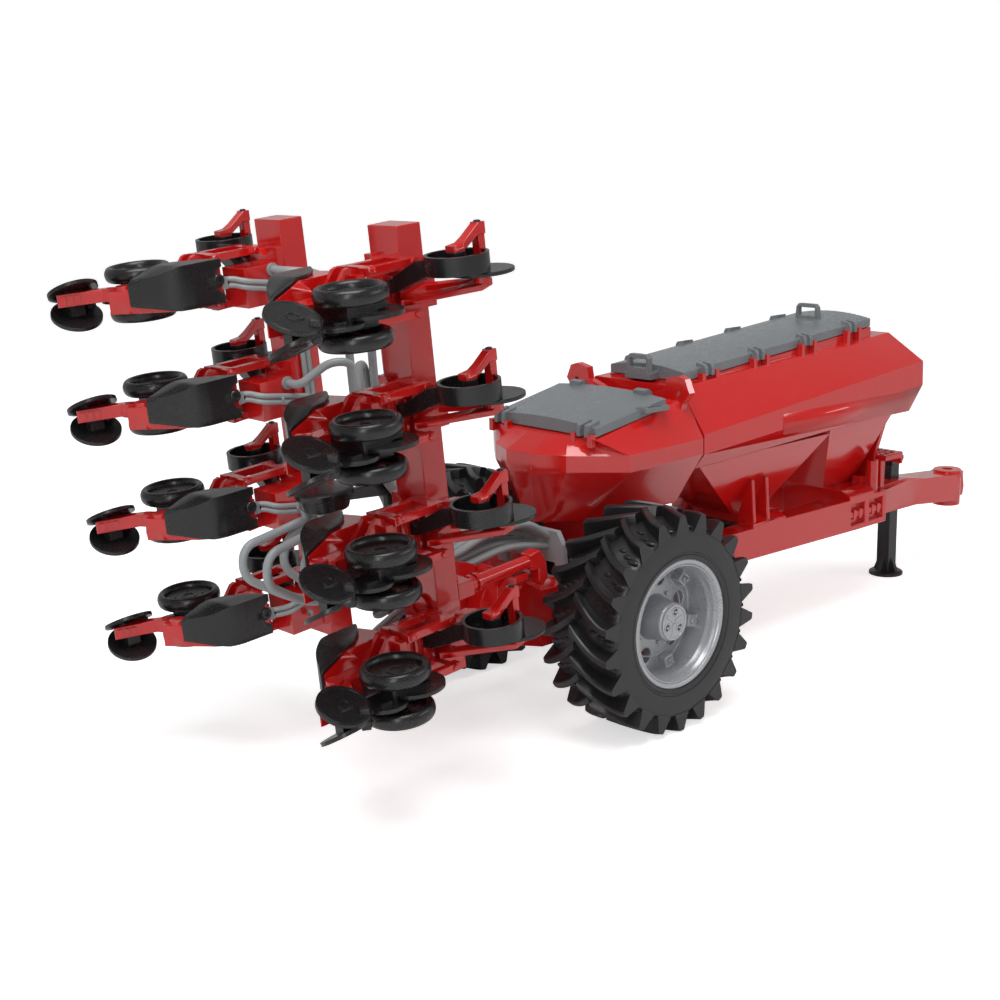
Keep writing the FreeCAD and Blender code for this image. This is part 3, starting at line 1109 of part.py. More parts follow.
# ---------------------------------------------------------------- one row unit, at the lowest row
def linkage():
    back = "(bar_rear - arm_length)"
    head = box("unit_head", ("bar_rear - 3", "bar_inner", at("-arm_drop")),
               ("bar_rear", f"{OUTER} + head_wall", at("arm_side + arm_thick")))
    collar = box("unit_collar", ("bar_rear", OUTER, at("1 - arm_drop")),
                 (f"{FRONT} + 2.6", f"{OUTER} + head_wall", at("arm_side - 1")))
    lip = slab("unit_lip", "xy", [
        (f"{FRONT} - 5", f"{OUTER} + head_wall"), (f"{FRONT} + 2.6", f"{OUTER} + head_wall"),
        (f"{FRONT} + 7", f"{OUTER} + 8"), (f"{FRONT} + 3", f"{OUTER} + 10"),
    ], at("arm_side - 3"), "2.2")
    meter = box("meter_case", ("bar_rear - 19", "bar_inner + 1", at("-9")),
                ("bar_rear - 3", f"{OUTER} - 1", at("arm_side - 3")))
    ribs = [
        box(f"meter_rib_{i}", (f"bar_rear - {6 + 4 * i}", "bar_inner + 1", at("-8")),
            (f"bar_rear - {4.6 + 4 * i}", f"{OUTER} + 0.6", at("arm_side - 4")))
        for i in range(4)
    ]
    parts = [head, collar, lip, meter, *ribs]
    for tag, z in (("high", at("arm_side")), ("low", at("-arm_drop"))):
        for k, y in enumerate(("arm_inner", "(arm_inner + arm_rise)")):
            parts.append(slab(f"arm_{tag}_{k}", "xy", [
                ("bar_rear - 1", f"{y} + arm_wide"), ("bar_rear - 1", f"{y} - 1"), ("bar_rear - 7", y),
                (f"{back} + 5", y), (back, f"{y} - 0.8"), (back, f"{y} + arm_wide + 0.8"),
                (f"{back} + 5", f"{y} + arm_wide"), ("bar_rear - 7", f"{y} + arm_wide"),
            ], z, "arm_thick"))
        for k, x in enumerate(("bar_rear - 6.5", f"({back} + 1)")):
            parts.append(box(f"rung_{tag}_{k}", (x, "arm_inner", z),
                             (f"{x} + 3.4", "arm_inner + arm_rise + arm_wide", f"{z} + arm_thick")))
    bore = rod("head_bore", "x", ("bar_rear - 4", "fold_half", FOLD_HIGH), "fold_pin + pin_head + 0.5", "4")
    return cut("linkage_all", fuse("linkage_solid", *parts), bore)


COVER_PATH = [
    ("cover_front", "cover_inner"), ("cover_bend", "cover_inner + 0.6"),
    ("cover_bend - 7.2", "cover_inner + 8"), ("cover_tail", "cover_end"),
]
COVER_INSIDE = [
    ("cover_front", "cover_inner + cover_wall"), ("cover_bend + 0.3", "cover_inner + cover_wall + 0.6"),
    ("cover_bend - 6.2", "cover_inner + cover_wall + 7.5"), ("cover_tail + 1.1", "cover_end + 0.6"),
]


def below_cover(name, drop, foot):
    """What lies under the hood's sloping top, as seen from the side."""
    return slab(name, "xz", [
        ("cover_front + 20", at(f"cover_top - 1 - {drop}")), ("cover_bend", at(f"cover_top - {drop}")),
        ("cover_tail - 1", at(f"cover_top - cover_fall - {drop}")), ("cover_tail - 1", at(f"{foot} + 3")),
        ("cover_bend - 2", at(foot)), ("cover_front + 20", at(foot)),
    ], "cover_inner - 2", "cover_end - cover_inner + 8")


def unit_frame():
    back = "(bar_rear - arm_length)"
    foot = "unit_y - opener_drop"
    case = common("unit_case", slab("unit_case_plan", "xy", [
        ("cover_front + 3", "arm_inner - 3"), *COVER_INSIDE, ("cover_tail + 8", "cover_end"),
        (back, "cover_end - 4"),
    ], at("-cover_drop"), "2 * cover_top"), below_cover("unit_case_side", "cover_wall", "-3"))
    floor = slab("unit_floor", "xy", [
        ("cover_front + 6", "arm_inner - 3"), *COVER_INSIDE[1:], ("cover_tail - 4", "cover_end + 9"),
        ("cover_tail + 2", "cover_end + 14"), ("unit_x - 10", foot), ("cover_front + 6", foot),
    ], at("-gauge_clear"), "2 * gauge_clear")
    tower = [
        slab(f"tower_fin_{k}", "xz", [
            (f"{back} - 1", at("0")), (f"{back} - 1", at("arm_side + arm_thick - 0.6")),
            (f"{back} - 4", at("arm_side + arm_thick + 0.8")), (f"{back} - 6", at("arm_side + arm_thick + 0.2")),
            (f"{back} - 13", at("gauge_clear")), (f"{back} - 13", at("0")),
        ], y, "fin_thick")
        for k, y in enumerate(("arm_inner + arm_wide + 0.5", "arm_inner + arm_rise - fin_thick - 0.5"))
    ]
    spine = box("tower_spine", (f"{back} - 4", "arm_inner", at("1.5 - arm_drop")),
                (back, "arm_inner + arm_rise + arm_wide", at("arm_side + 1")))
    boss = rod("unit_boss", "z", ("cover_tail + 2", "cover_end + 6", at("0")), "3.4", "gauge_clear + 1.6")
    tail = slab("unit_tail", "xy", [
        ("cover_tail + 3", "cover_end + 3"), ("closer_x + 7.3", "closer_y - 9.8"), ("closer_x - 8.5", "closer_y - 2.6"),
        ("closer_x - 8.5", "closer_y - 2"), ("closer_x + 3", "closer_y - 2"), ("closer_x + 12", "closer_y - 9"),
        ("cover_tail + 7", "cover_end + 8"),
    ], at("tail_mid - tail_half"), "2 * tail_half")
    return fuse("unit_all", case, floor, *tower, spine, boss, tail)


def cover():
    skin = slab("cover_skin", "xy", COVER_PATH + COVER_INSIDE[::-1], at("-cover_drop"), "2 * cover_top")
    notch = rod("cover_notch", "y", ("cover_front + 1.5", "cover_inner - 1", at("4.5")), "cover_notch_radius",
                "cover_wall + 3")
    side = cut("cover_notched", common("cover_side", skin, below_cover("cover_edge", "0", "-cover_drop")), notch)
    plan = slab("cover_flange_plan", "xy", COVER_PATH + [
        ("cover_tail + 9", "cover_end - 0.4"), ("cover_front - 12", "cover_inner + 14.5"),
        ("cover_front - 4", "cover_inner + 7"),
    ], at("0"), "2 * cover_top")
    band = cut("cover_band", below_cover("cover_over", "0", "0"), below_cover("cover_under", "cover_wall", "0"))
    return fuse("cover_all", side, common("cover_flange", plan, band))


def opener():
    inner_gap = "(gauge_side - gauge_width / 2 - side_gap)"
    shank = box("opener_shank", ("unit_x - 6", "unit_y - opener_drop", at(f"-{inner_gap}")),
                ("unit_x + 7", "unit_y + 5", at(inner_gap)))
    steps = [
        box(f"opener_step_{i}", (f"unit_x + {7 + 3 * i}", "unit_y - 6", at("1")),
            (f"unit_x + {10 + 3 * i}", "unit_y + 4", at(f"{inner_gap} - {1.2 * i}")))
        for i in range(2)
    ]
    blades = [
        rod("opener_blade", "z", ("unit_x + 7", "unit_y + 1", at("-0.8")), "opener_radius", "disc_thick"),
        rod("opener_small", "z", ("unit_x - 7.5", "unit_y + 2", at("-2.6")), "opener_small_radius", "disc_thick"),
    ]
    tick = box("opener_tick", ("unit_x - 12", "unit_y + 4", at("disc_thick - 2.8")),
               ("unit_x - 7", "unit_y + 5.6", at("disc_thick - 1.4")))
    return cut("opener_all", fuse("opener_solid", shank, *steps, *blades, tick),
               rod("opener_bore", "z", ("unit_x", "unit_y", at("-20")), "pin_radius + fit_gap", "40"))


def gauge():
    half = "gauge_width / 2"
    wheel_shape = spun("gauge_wheel", "z", ("unit_x", "unit_y", at("gauge_side")), [
        ("0", f"-{half} + 1"), ("gauge_radius - 4.5", f"-{half} + 1"), ("gauge_radius - 3.4", f"-{half}"),
        ("gauge_radius - 1.2", f"-{half}"), ("gauge_radius", f"-{half} + 1.6"), ("gauge_radius", f"{half} - 1.6"),
        ("gauge_radius - 1.2", half), ("gauge_radius - 3", half), ("gauge_radius - 4.2", f"{half} - 2.4"),
        ("0", f"{half} - 2.8"),
    ])
    low = linked("gauge_wheel_low", wheel_shape, "0", "0", "-2 * gauge_side")
    pin = rod("gauge_pin", "z", ("unit_x", "unit_y", at("-gauge_side")), "pin_radius", "2 * gauge_side")
    return fuse("gauge_pair", wheel_shape, low, pin)


def closer():
    lean, toe = size("closer_lean"), size("closer_toe")
    start = "closer_side - disc_thick / 2"
    high = tilted_disc("closer_high", "closer_x", "closer_y", at(start), "closer_radius", "disc_thick", lean, toe)
    low = tilted_disc("closer_low", "closer_x", "closer_y", at(f"-({start})"), "closer_radius", "disc_thick",
                      180 - lean, -toe)
    hub = box("closer_hub", ("closer_x - 3", "closer_y - 2", at("-closer_side")),
              ("closer_x + 3", "closer_y + 3", at("closer_side")))
    bridge = slab("closer_bridge", "xy", [
        ("closer_x + 6", "closer_y + 1"), ("closer_x + 9.6", "closer_y + 1"), ("closer_x + 8.6", "closer_y + 4.6"),
        ("closer_x + 5.6", "closer_y + 8"), ("closer_x + 3", "closer_y + 6"),
    ], at("1 - closer_side"), "2 * closer_side - 2")
    return fuse("closer_all", high, low, hub, bridge)


def coulter():
    ring_low, ring_high = "ring_side - ring_width / 2", "ring_side + ring_width / 2"
    disc_low = f"{ring_low} - side_gap * 2 - disc_thick"
    disc = cut("coulter_disc", rod("coulter_disc_rod", "z", ("coulter_x", "coulter_y", at(disc_low)), "coulter_radius",
                                   "disc_thick"),
               rod("coulter_disc_bore", "z", ("coulter_x", "coulter_y", at("0")), "pin_radius + fit_gap", "20"))

    ring_at = ("ring_x", "ring_y", at(ring_low))
    band = cut("ring_band", rod("ring_out", "z", ring_at, "ring_radius", "ring_width"),
               rod("ring_in", "z", ("ring_x", "ring_y", at(f"{ring_low} + ring_wall")), "ring_radius - ring_wall",
                   "ring_width"))
    hub = rod("ring_hub", "z", ring_at, "3.4", "ring_width + 0.5")
    gate = box("ring_gate", ("coulter_x - post_side / 2 - side_gap", "coulter_y - post_side / 2 - side_gap", at("0")),
               ("ring_x + ring_radius + 1", "coulter_y + post_side / 2 + side_gap", at("30")))
    lever = common(
        "ring_lever",
        slab("ring_lever_plan", "xy", [
            ("bar_rear - 10", f"{OUTER} + 0.6"), ("bar_rear - 3.6", f"{OUTER} + 0.6"),
            ("ring_x - 3.5", "ring_y - 10"), ("ring_x - 9", "ring_y - 7"),
        ], at("-2"), "ring_side + 8"),
        slab("ring_lever_side", "yz", [
            (OUTER, at("0")), (f"{OUTER} + 5", at("0.5")), ("ring_y - 6", at(ring_low)), ("ring_y - 6", at(f"{ring_high} - 1.4")),
            ("ring_y - 12", at(f"{ring_high} - 2")), (f"{OUTER} + 4", at("5.5")), (OUTER, at("5"))
        ], "bar_rear - 12", "30"),
    )
    ring_solid = rod("ring_fill", "z", ring_at, "ring_radius - ring_wall / 2", "ring_width")
    ring = fuse("ring_all", cut("ring_gated", fuse("ring_hubbed", band, hub), gate),
                cut("ring_lever_end", lever, ring_solid))

    plan = slab("fork_plan", "xy", [
        ("bar_rear - 3.5", f"{OUTER} + head_wall"), ("bar_rear - 5.5", f"{OUTER} + 4.6"), ("bar_rear - 3", f"{OUTER} + 9"),
        ("coulter_x - 3", "coulter_y + 2.6"), ("coulter_x + 2.6", "coulter_y + 2.6"), ("coulter_x + 3.2", "coulter_y - 3"),
        (f"{FRONT} - 2", f"{OUTER} + head_wall"),
    ], at("-8"), "16")
    slot = slab("fork_slot", "xy", [
        ("bar_rear", f"{OUTER} + 4.6"), ("bar_rear + 0.6", f"{OUTER} + 7.6"), ("coulter_x - 2.6", "coulter_y - 4.6"),
        ("coulter_x", "coulter_y - 5"), (f"{FRONT} - 4.4", f"{OUTER} + 4.6"),
    ], at("-9"), "18")
    side = slab("fork_side", "xz", [
        ("bar_rear - 7", at("-4.4 - fork_thick / 2")), ("coulter_x + 4", at("2.4 - fork_thick / 2")),
        ("coulter_x + 4", at("2.4 + fork_thick / 2")), ("bar_rear - 7", at("-4.4 + fork_thick / 2")),
    ], OUTER, "40")
    knuckle_low = "0.6"
    knuckle_top = f"{disc_low} - side_gap"
    knuckle = rod("fork_knuckle", "z", ("coulter_x", "coulter_y", at(knuckle_low)), "3.2", f"{knuckle_top} - {knuckle_low}")
    pin = rod("fork_pin", "z", ("coulter_x", "coulter_y", at(knuckle_low)), "pin_radius", f"{ring_low} - {knuckle_low}")
    post_low = f"{ring_low} - side_gap"
    post = box("fork_post", ("coulter_x - post_side / 2", "coulter_y - post_side / 2", at(post_low)),
               ("coulter_x + post_side / 2", "coulter_y + post_side / 2", at("over_high")))
    over = slab("fork_over_arm", "xz", [
        ("ring_x - 3", at(f"{ring_high} + 0.5")), ("ring_x + 2.6", at(f"{ring_high} + 0.5")),
        ("coulter_x - 1.8", at("over_high - 4.4")), ("coulter_x + post_side / 2", at("over_high - 4.4")),
        ("coulter_x + post_side / 2", at("over_high")), ("coulter_x - 1", at("over_high")),
        ("ring_x + 2", at(f"{ring_high} + 3.4")), ("ring_x - 3", at(f"{ring_high} + 2.8")),
    ], "ring_y - 2.2", "4.4")
    fork = fuse("fork_all", cut("fork_rails", common("fork_plate", plan, side), slot), knuckle, pin, post, over)
    return disc, ring, fork


def wing():
    low = "(row_first - row_pitch / 2 + fold_end_gap)"
    beam = box("wing_beam_bar", ("bar_rear", "bar_inner", low), (FRONT, OUTER, "row_first + row_pitch * 3.5"))
    bore = rod("wing_beam_bore", "x", ("bar_rear - 1", "fold_half", FOLD_HIGH), "fold_pin + fit_gap",
               "bar_depth + 2")
    disc, ring, fork = coulter()
    masters = [
        ("wing_beam", cut("wing_beam_all", beam, bore), 1), ("unit_linkages", linkage(), 4),
        ("unit_frames", unit_frame(), 4), ("unit_covers", cover(), 4), ("opener_discs", opener(), 4),
        ("closing_discs", closer(), 4), ("coulter_rings", ring, 4), ("coulter_forks", fork, 4), ("wing_hoses", wing_hoses(), 1),
    ]
    gauges = gauge()
    for side in ("left", "right"):
        for label, master, count in masters:
            piece = rows(f"{label}_rows_{side}", master) if count == 4 else master
            if side == "right":
                piece = mirrored(f"{label}_mirror", piece)
            node(f"{label}_{side}", piece, "toolbar")
        for label, master in (("gauge_wheels", gauges), ("coulter_disc", disc)):
            if side == "right":
                master = mirrored(f"{label}_mirror", master)
            for k in range(4):
                piece = linked(f"{label}_{side}_{k + 1}_link", master, "0", "0", f"{k} * row_pitch")
                node(f"{label}_{side}_{k + 1}", piece, "toolbar")


wheel()
axle()
chassis()
metering()
jack()
tanks()
lids()
toolbar()
bundle()
distributor()
wing()
doc.recompute()

for obj in doc.Objects:
    bad = [state for state in obj.State if state in ("Invalid", "Error")]
    if bad:
        raise RuntimeError(f"{obj.Label} is {bad}")
for obj in nodes:
    if obj.Shape.isNull() or not obj.Shape.isValid() or not obj.Shape.Solids:
        raise RuntimeError(f"{obj.Label} has no valid solid")
os.makedirs("parts", exist_ok=True)
for obj in nodes:
    obj.Shape.exportStep(f"parts/{obj.Label}.step")
    box_of = obj.Shape.BoundBox
    print(f"{obj.Label}: {len(obj.Shape.Solids)} solids, {obj.Shape.Volume:.0f} mm3, "
          f"{box_of.XMin:.1f}..{box_of.XMax:.1f} {box_of.YMin:.1f}..{box_of.YMax:.1f} "
          f"{box_of.ZMin:.1f}..{box_of.ZMax:.1f}")
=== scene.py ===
# Toy precision seeder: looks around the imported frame
import json
import math

import bmesh
import bpy
from mathutils import Matrix, Vector
from mathutils.bvhtree import BVHTree


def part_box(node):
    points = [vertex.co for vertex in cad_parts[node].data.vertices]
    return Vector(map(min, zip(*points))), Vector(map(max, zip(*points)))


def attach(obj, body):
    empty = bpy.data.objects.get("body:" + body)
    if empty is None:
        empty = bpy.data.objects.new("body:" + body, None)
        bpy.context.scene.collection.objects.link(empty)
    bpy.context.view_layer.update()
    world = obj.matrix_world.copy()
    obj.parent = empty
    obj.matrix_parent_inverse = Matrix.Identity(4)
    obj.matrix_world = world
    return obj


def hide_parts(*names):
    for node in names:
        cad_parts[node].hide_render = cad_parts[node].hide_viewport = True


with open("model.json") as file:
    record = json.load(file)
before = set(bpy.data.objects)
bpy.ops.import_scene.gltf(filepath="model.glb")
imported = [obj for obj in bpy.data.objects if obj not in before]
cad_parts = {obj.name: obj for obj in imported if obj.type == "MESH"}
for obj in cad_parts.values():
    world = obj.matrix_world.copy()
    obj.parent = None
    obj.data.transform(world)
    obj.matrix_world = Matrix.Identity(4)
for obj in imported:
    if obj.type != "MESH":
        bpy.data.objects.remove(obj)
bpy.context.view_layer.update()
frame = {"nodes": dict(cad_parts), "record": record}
scene = bpy.context.scene
nodes = frame["nodes"]
slots = {part["node"]: part["material_slot"] for part in frame["record"]["subparts"]}
behaviour = frame["record"]["behaviour"]
bodyOf = {node: body for body, members in behaviour["bodies"].items() for node in members}
joints = {joint["name"]: joint for joint in behaviour["joints"]}
sides = {"left": 1.0, "right": -1.0}
rowNumbers = range(1, 5)

# the toolbar leans back about the ground line under the axle; its small wheels' axes give the lean
leanAxis = joints["gauge_left_1_spin"]["axis"]
axleX = joints["wheel_left_spin"]["pos_m"][0]
toolbarLean = math.atan2(-leanAxis[0], leanAxis[2])
toolbar = Matrix.Translation((axleX, 0.0, 0.0)) @ Matrix.Rotation(-toolbarLean, 4, "Y")
rows = [(toolbar.inverted() @ Vector(joints[f"gauge_left_{k}_spin"]["pos_m"])).z for k in rowNumbers]

# camera behind the right wheel, a little above the toolbar's top
cameraView = {"behindAxle": 0.50554, "toTheRight": 0.5140, "height": 0.26197,
              "yaw": 47.33, "pitch": -13.28, "roll": -1.23, "focalLength": 58.27, "sensor": 36.0}


def setCamera():
    data = bpy.data.cameras.new("camera")
    camera = bpy.data.objects.new("camera", data)
    scene.collection.objects.link(camera)
    yaw, pitch, roll = (math.radians(cameraView[word]) for word in ("yaw", "pitch", "roll"))
    ahead = Vector((math.cos(yaw) * math.cos(pitch), math.sin(yaw) * math.cos(pitch), math.sin(pitch)))
    turn = ahead.to_track_quat("-Z", "Y").to_matrix().to_4x4() @ Matrix.Rotation(roll, 4, "Z")
    place = (axleX - cameraView["behindAxle"], -cameraView["toTheRight"], cameraView["height"])
    camera.matrix_world = Matrix.Translation(place) @ turn
    data.sensor_width = cameraView["sensor"]
    data.lens = cameraView["focalLength"]
    data.clip_start = 0.01
    data.clip_end = 20.0
    scene.camera = camera


# studio: a round floor that curves up into a wall, three soft lamps and an even world
studio = {"flat": 1.9, "curve": 0.9, "wallTop": 2.6, "around": 96, "worldLight": 0.28}
lampTarget = Vector((0.0, 0.0, 0.1))
lamps = {
    "key": {"at": (-0.5, -0.3, 1.6), "wide": 1.1, "high": 0.9, "watts": 18.0},
    "front": {"at": (-1.25, -0.95, 0.7), "wide": 0.25, "high": 1.1, "watts": 5.0},
    "side": {"at": (1.0, -1.25, 0.8), "wide": 1.2, "high": 0.12, "watts": 3.2},
}


def areaLamp(name, at, wide, high, watts):
    data = bpy.data.lights.new(name, "AREA")
    data.shape = "RECTANGLE"
    data.size = wide
    data.size_y = high
    data.energy = watts
    lamp = bpy.data.objects.new(name, data)
    lamp.location = at
    lamp.rotation_euler = (lampTarget - Vector(at)).to_track_quat("-Z", "Y").to_euler()
    scene.collection.objects.link(lamp)


def setStudio():
    flat, curve = studio["flat"], studio["curve"]
    turns = [math.radians(degrees) for degrees in range(0, 91, 10)]
    profile = [(0.0, 0.0)] + [(flat + curve * math.sin(t), curve - curve * math.cos(t)) for t in turns]
    profile.append((flat + curve, studio["wallTop"]))
    bm = bmesh.new()
    revolve(bm, profile, (0.0, 0.0, 0.0), (0.0, 0.0, 1.0), studio["around"])
    cove = newPiece("studio_floor", creased(bm))
    cove.data.materials.append(materials["floor"])
    for name, lamp in lamps.items():
        areaLamp(name, **lamp)
    world = bpy.data.worlds.new("studio")
    scene.world = world
    world.use_nodes = True
    background = world.node_tree.nodes["Background"]
    background.inputs["Color"].default_value = (1.0, 1.0, 1.0, 1.0)
    background.inputs["Strength"].default_value = studio["worldLight"]
    scene.view_settings.view_transform = "Standard"


# mesh helpers
def newPiece(name, bm):
    mesh = bpy.data.meshes.new(name)
    bm.to_mesh(mesh)
    bm.free()
    for face in mesh.polygons:
        face.use_smooth = True
    piece = bpy.data.objects.new(name, mesh)
    scene.collection.objects.link(piece)
    return piece


def finished(piece, body, slot, finish=None):
    piece.data.materials.append(materials[finish or slot])
    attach(piece, body)


# spins a profile of radius and height along the axis
def revolve(bm, profile, centre, axis, steps=48):
    axis = Vector(axis).normalized()
    across = axis.orthogonal().normalized()
    verts = [bm.verts.new(Vector(centre) + across * radius + axis * along) for radius, along in profile]
    line = verts + [bm.edges.new(pair) for pair in zip(verts, verts[1:])]
    bmesh.ops.spin(bm, geom=line, cent=centre, axis=axis, angle=math.tau, steps=steps, use_merge=True)


# a bolt or pin head, sunk by a third of its height
def stud(bm, place, axis, radius, height, steps=12):
    profile = [(radius, -0.3 * height), (radius, 0.7 * height), (0.8 * radius, height), (0.0, height)]
    revolve(bm, profile, place, axis, steps)


def slab(bm, corners, depth):
    face = bm.faces.new([bm.verts.new(corner) for corner in corners])
    made = bmesh.ops.extrude_face_region(bm, geom=[face], use_keep_orig=True)["geom"]
    far = [part for part in made if isinstance(part, bmesh.types.BMVert)]
    bmesh.ops.translate(bm, verts=far, vec=depth)


# a grid of squares, with each corner where place(i, j) puts it
def sheet(bm, wide, long, place):
    verts = bmesh.ops.create_grid(bm, x_segments=wide, y_segments=long, size=0.5)["verts"]
    for count, vert in enumerate(verts):
        vert.co = place(count % (wide + 1), count // (wide + 1))
    return verts


# closes poles and seams, turns the faces outwards and keeps what is sharper than the angle crisp
def creased(bm, angle=38.0):
    bmesh.ops.remove_doubles(bm, verts=bm.verts, dist=1e-6)
    bmesh.ops.recalc_face_normals(bm, faces=bm.faces)
    for edge in bm.edges:
        edge.smooth = edge.calc_face_angle(0.0) < math.radians(angle)
    return bm


# a socket that maths can be written on
class Wire:
    def __init__(self, finish, socket):
        self.finish, self.socket = finish, socket

    def maths(self, kind, other):
        return self.finish.node("ShaderNodeMath", {"operation": kind}, {0: self, 1: other})

    def __add__(self, other):
        return self.maths("ADD", other)

    def __mul__(self, other):
        return self.maths("MULTIPLY", other)

    __radd__ = __add__
    __rmul__ = __mul__


# a material, its nodes and the patterns that the finishes share
class Finish:
    def __init__(self, name):
        self.material = bpy.data.materials.new(name)
        self.material.use_nodes = True
        self.tree = self.material.node_tree
        self.shader = self.tree.nodes["Principled BSDF"]
        self.coords = self.node("ShaderNodeTexCoord", output="Object")

    def feed(self, socket, value):
        if isinstance(value, Wire):
            self.tree.links.new(value.socket, socket)
        else:
            socket.default_value = value

    def node(self, kind, settings=None, sockets=None, output=0):
        made = self.tree.nodes.new(kind)
        for word, value in (settings or {}).items():
            setattr(made, word, value)
        for word, value in (sockets or {}).items():
            self.feed(made.inputs[word], value)
        return Wire(self, made.outputs[output])

    def noise(self, scale, detail=2.0, rough=0.5):
        sockets = {"Vector": self.coords, "Scale": scale, "Detail": detail, "Roughness": rough}
        return self.node("ShaderNodeTexNoise", sockets=sockets, output="Fac")

    def cells(self, scale):
        sockets = {"Vector": self.coords, "Scale": scale}
        return self.node("ShaderNodeTexVoronoi", sockets=sockets, output="Distance")

    def mixed(self, low, high, factor):
        sockets = {0: factor, 6: (*low, 1.0), 7: (*high, 1.0)}
        return self.node("ShaderNodeMix", {"data_type": "RGBA"}, sockets, output=2)

    def bump(self, height, strength, distance, **more):
        sockets = {"Height": height, "Strength": strength, "Distance": distance, **more}
        return self.node("ShaderNodeBump", sockets=sockets)

    def shaded(self, sockets):
        for word, value in sockets.items():
            self.feed(self.shader.inputs[word], value)
        return self.material


# moulded plastics: two close tones, roughness, how fine the grain is, how deep, and how metallic or glossy
plastics = {
    "red": {"low": (0.55, 0.008, 0.007), "high": (0.59, 0.010, 0.009), "rough": 0.15,
            "grain": 1200.0, "depth": 0.000003, "gloss": 0.6},
    "label_red": {"low": (0.52, 0.009, 0.008), "high": (0.56, 0.011, 0.009), "rough": 0.20,
                  "grain": 1500.0, "depth": 0.000004, "gloss": 0.4},
    "black": {"low": (0.008, 0.008, 0.009), "high": (0.015, 0.015, 0.016), "rough": 0.27,
              "grain": 2400.0, "depth": 0.00002},
    "dark_grey": {"low": (0.160, 0.176, 0.187), "high": (0.180, 0.196, 0.207), "rough": 0.27,
                  "grain": 1500.0, "depth": 0.000004},
    "hose_grey": {"low": (0.28, 0.30, 0.31), "high": (0.33, 0.35, 0.36), "rough": 0.32,
                  "grain": 1600.0, "depth": 0.00001},
    "rim_grey": {"low": (0.40, 0.41, 0.43), "high": (0.44, 0.45, 0.47), "rough": 0.28,
                 "grain": 2000.0, "depth": 0.000003, "metal": 0.4},
}
moulding = {"tone": 35.0, "ripple": 120.0, "rippleShare": 0.8, "cornerRadius": 0.0004, "coatRoughness": 0.06}


def moulded(name, low, high, rough, grain, depth, metal=0.0, gloss=0.0):
    finish = Finish(name)
    broad, fine = finish.noise(moulding["tone"], 3.0), finish.noise(grain, 3.0, 0.6)
    surface = fine + finish.noise(moulding["ripple"]) * moulding["rippleShare"]
    corner = finish.node("ShaderNodeBevel", sockets={"Radius": moulding["cornerRadius"]})
    return finish.shaded({
        "Base Color": finish.mixed(low, high, broad), "Metallic": metal,
        "Roughness": broad * 0.05 + fine * 0.04 + (rough - 0.045),
        "Normal": finish.bump(surface, 0.35, depth, Normal=corner),
        "Coat Weight": gloss, "Coat Roughness": moulding["coatRoughness"]})


def rubber(name):
    finish = Finish(name)
    broad, fine = finish.noise(60.0, 4.0), finish.noise(1500.0, 3.0, 0.65)
    return finish.shaded({
        "Base Color": finish.mixed((0.012, 0.012, 0.013), (0.022, 0.022, 0.024), broad),
        "Roughness": broad * 0.12 + fine * 0.06 + 0.24,
        "Normal": finish.bump(fine + finish.cells(900.0) * 0.5, 0.4, 0.00003)})


def drawnSteel(name):
    finish = Finish(name)
    drawn = {"Vector": finish.coords, "Scale": (1.0, 0.02, 1.0)}  # lines run along the axle
    finish.coords = finish.node("ShaderNodeMapping", sockets=drawn)
    lines = finish.noise(2500.0, 3.0)
    return finish.shaded({
        "Base Color": finish.mixed((0.50, 0.50, 0.52), (0.62, 0.62, 0.63), lines), "Metallic": 1.0,
        "Roughness": lines * 0.2 + 0.22, "Normal": finish.bump(lines, 0.3, 0.00002)})


def floorFinish(name):
    finish = Finish(name)
    soft = finish.noise(3.0, 3.0)
    seen = finish.node("ShaderNodeLightPath", output="Is Camera Ray")
    return finish.shaded({
        "Base Color": finish.mixed((0.86, 0.86, 0.86), (0.89, 0.89, 0.89), soft),
        "Roughness": soft * 0.1 + 0.75,
        "Emission Color": finish.mixed((0.0, 0.0, 0.0), (1.0, 1.0, 1.0), seen), "Emission Strength": 0.6})


materials = {name: moulded(name, **plastic) for name, plastic in plastics.items()}
materials |= {"tyre": rubber("tyre"), "steel": drawnSteel("steel"), "floor": floorFinish("floor")}

# frame pieces with rounded edges: how wide, by colour; from what angle on; and from what length on
rounding = {
    "width": {"red": 0.0004, "black": 0.0003, "dark_grey": 0.0004, "rim_grey": 0.0004},
    "angle": {"front_tank": 9.0, "rear_tank": 14.0},
    "otherAngle": 32.0,
    "shortest": {"front_tank": 0.060, "rear_tank": 0.035,
                 "front_lid": 0.020, "rear_lid": 0.020, "drawbar": 0.020,
                 "unit_frames": 0.012, "unit_linkages": 0.012, "opener_discs": 0.012,
                 "main_frame": 0.008, "toolbar_centre": 0.008, "coulter_forks": 0.008, "coulter_rings": 0.008,
                 "distributor": 0.004, "jack_leg": 0.004, "lift_struts": 0.004, "access_step": 0.004},
    "madeAgain": ("gauge", "unit_covers"),  # pieces further down replace these
}


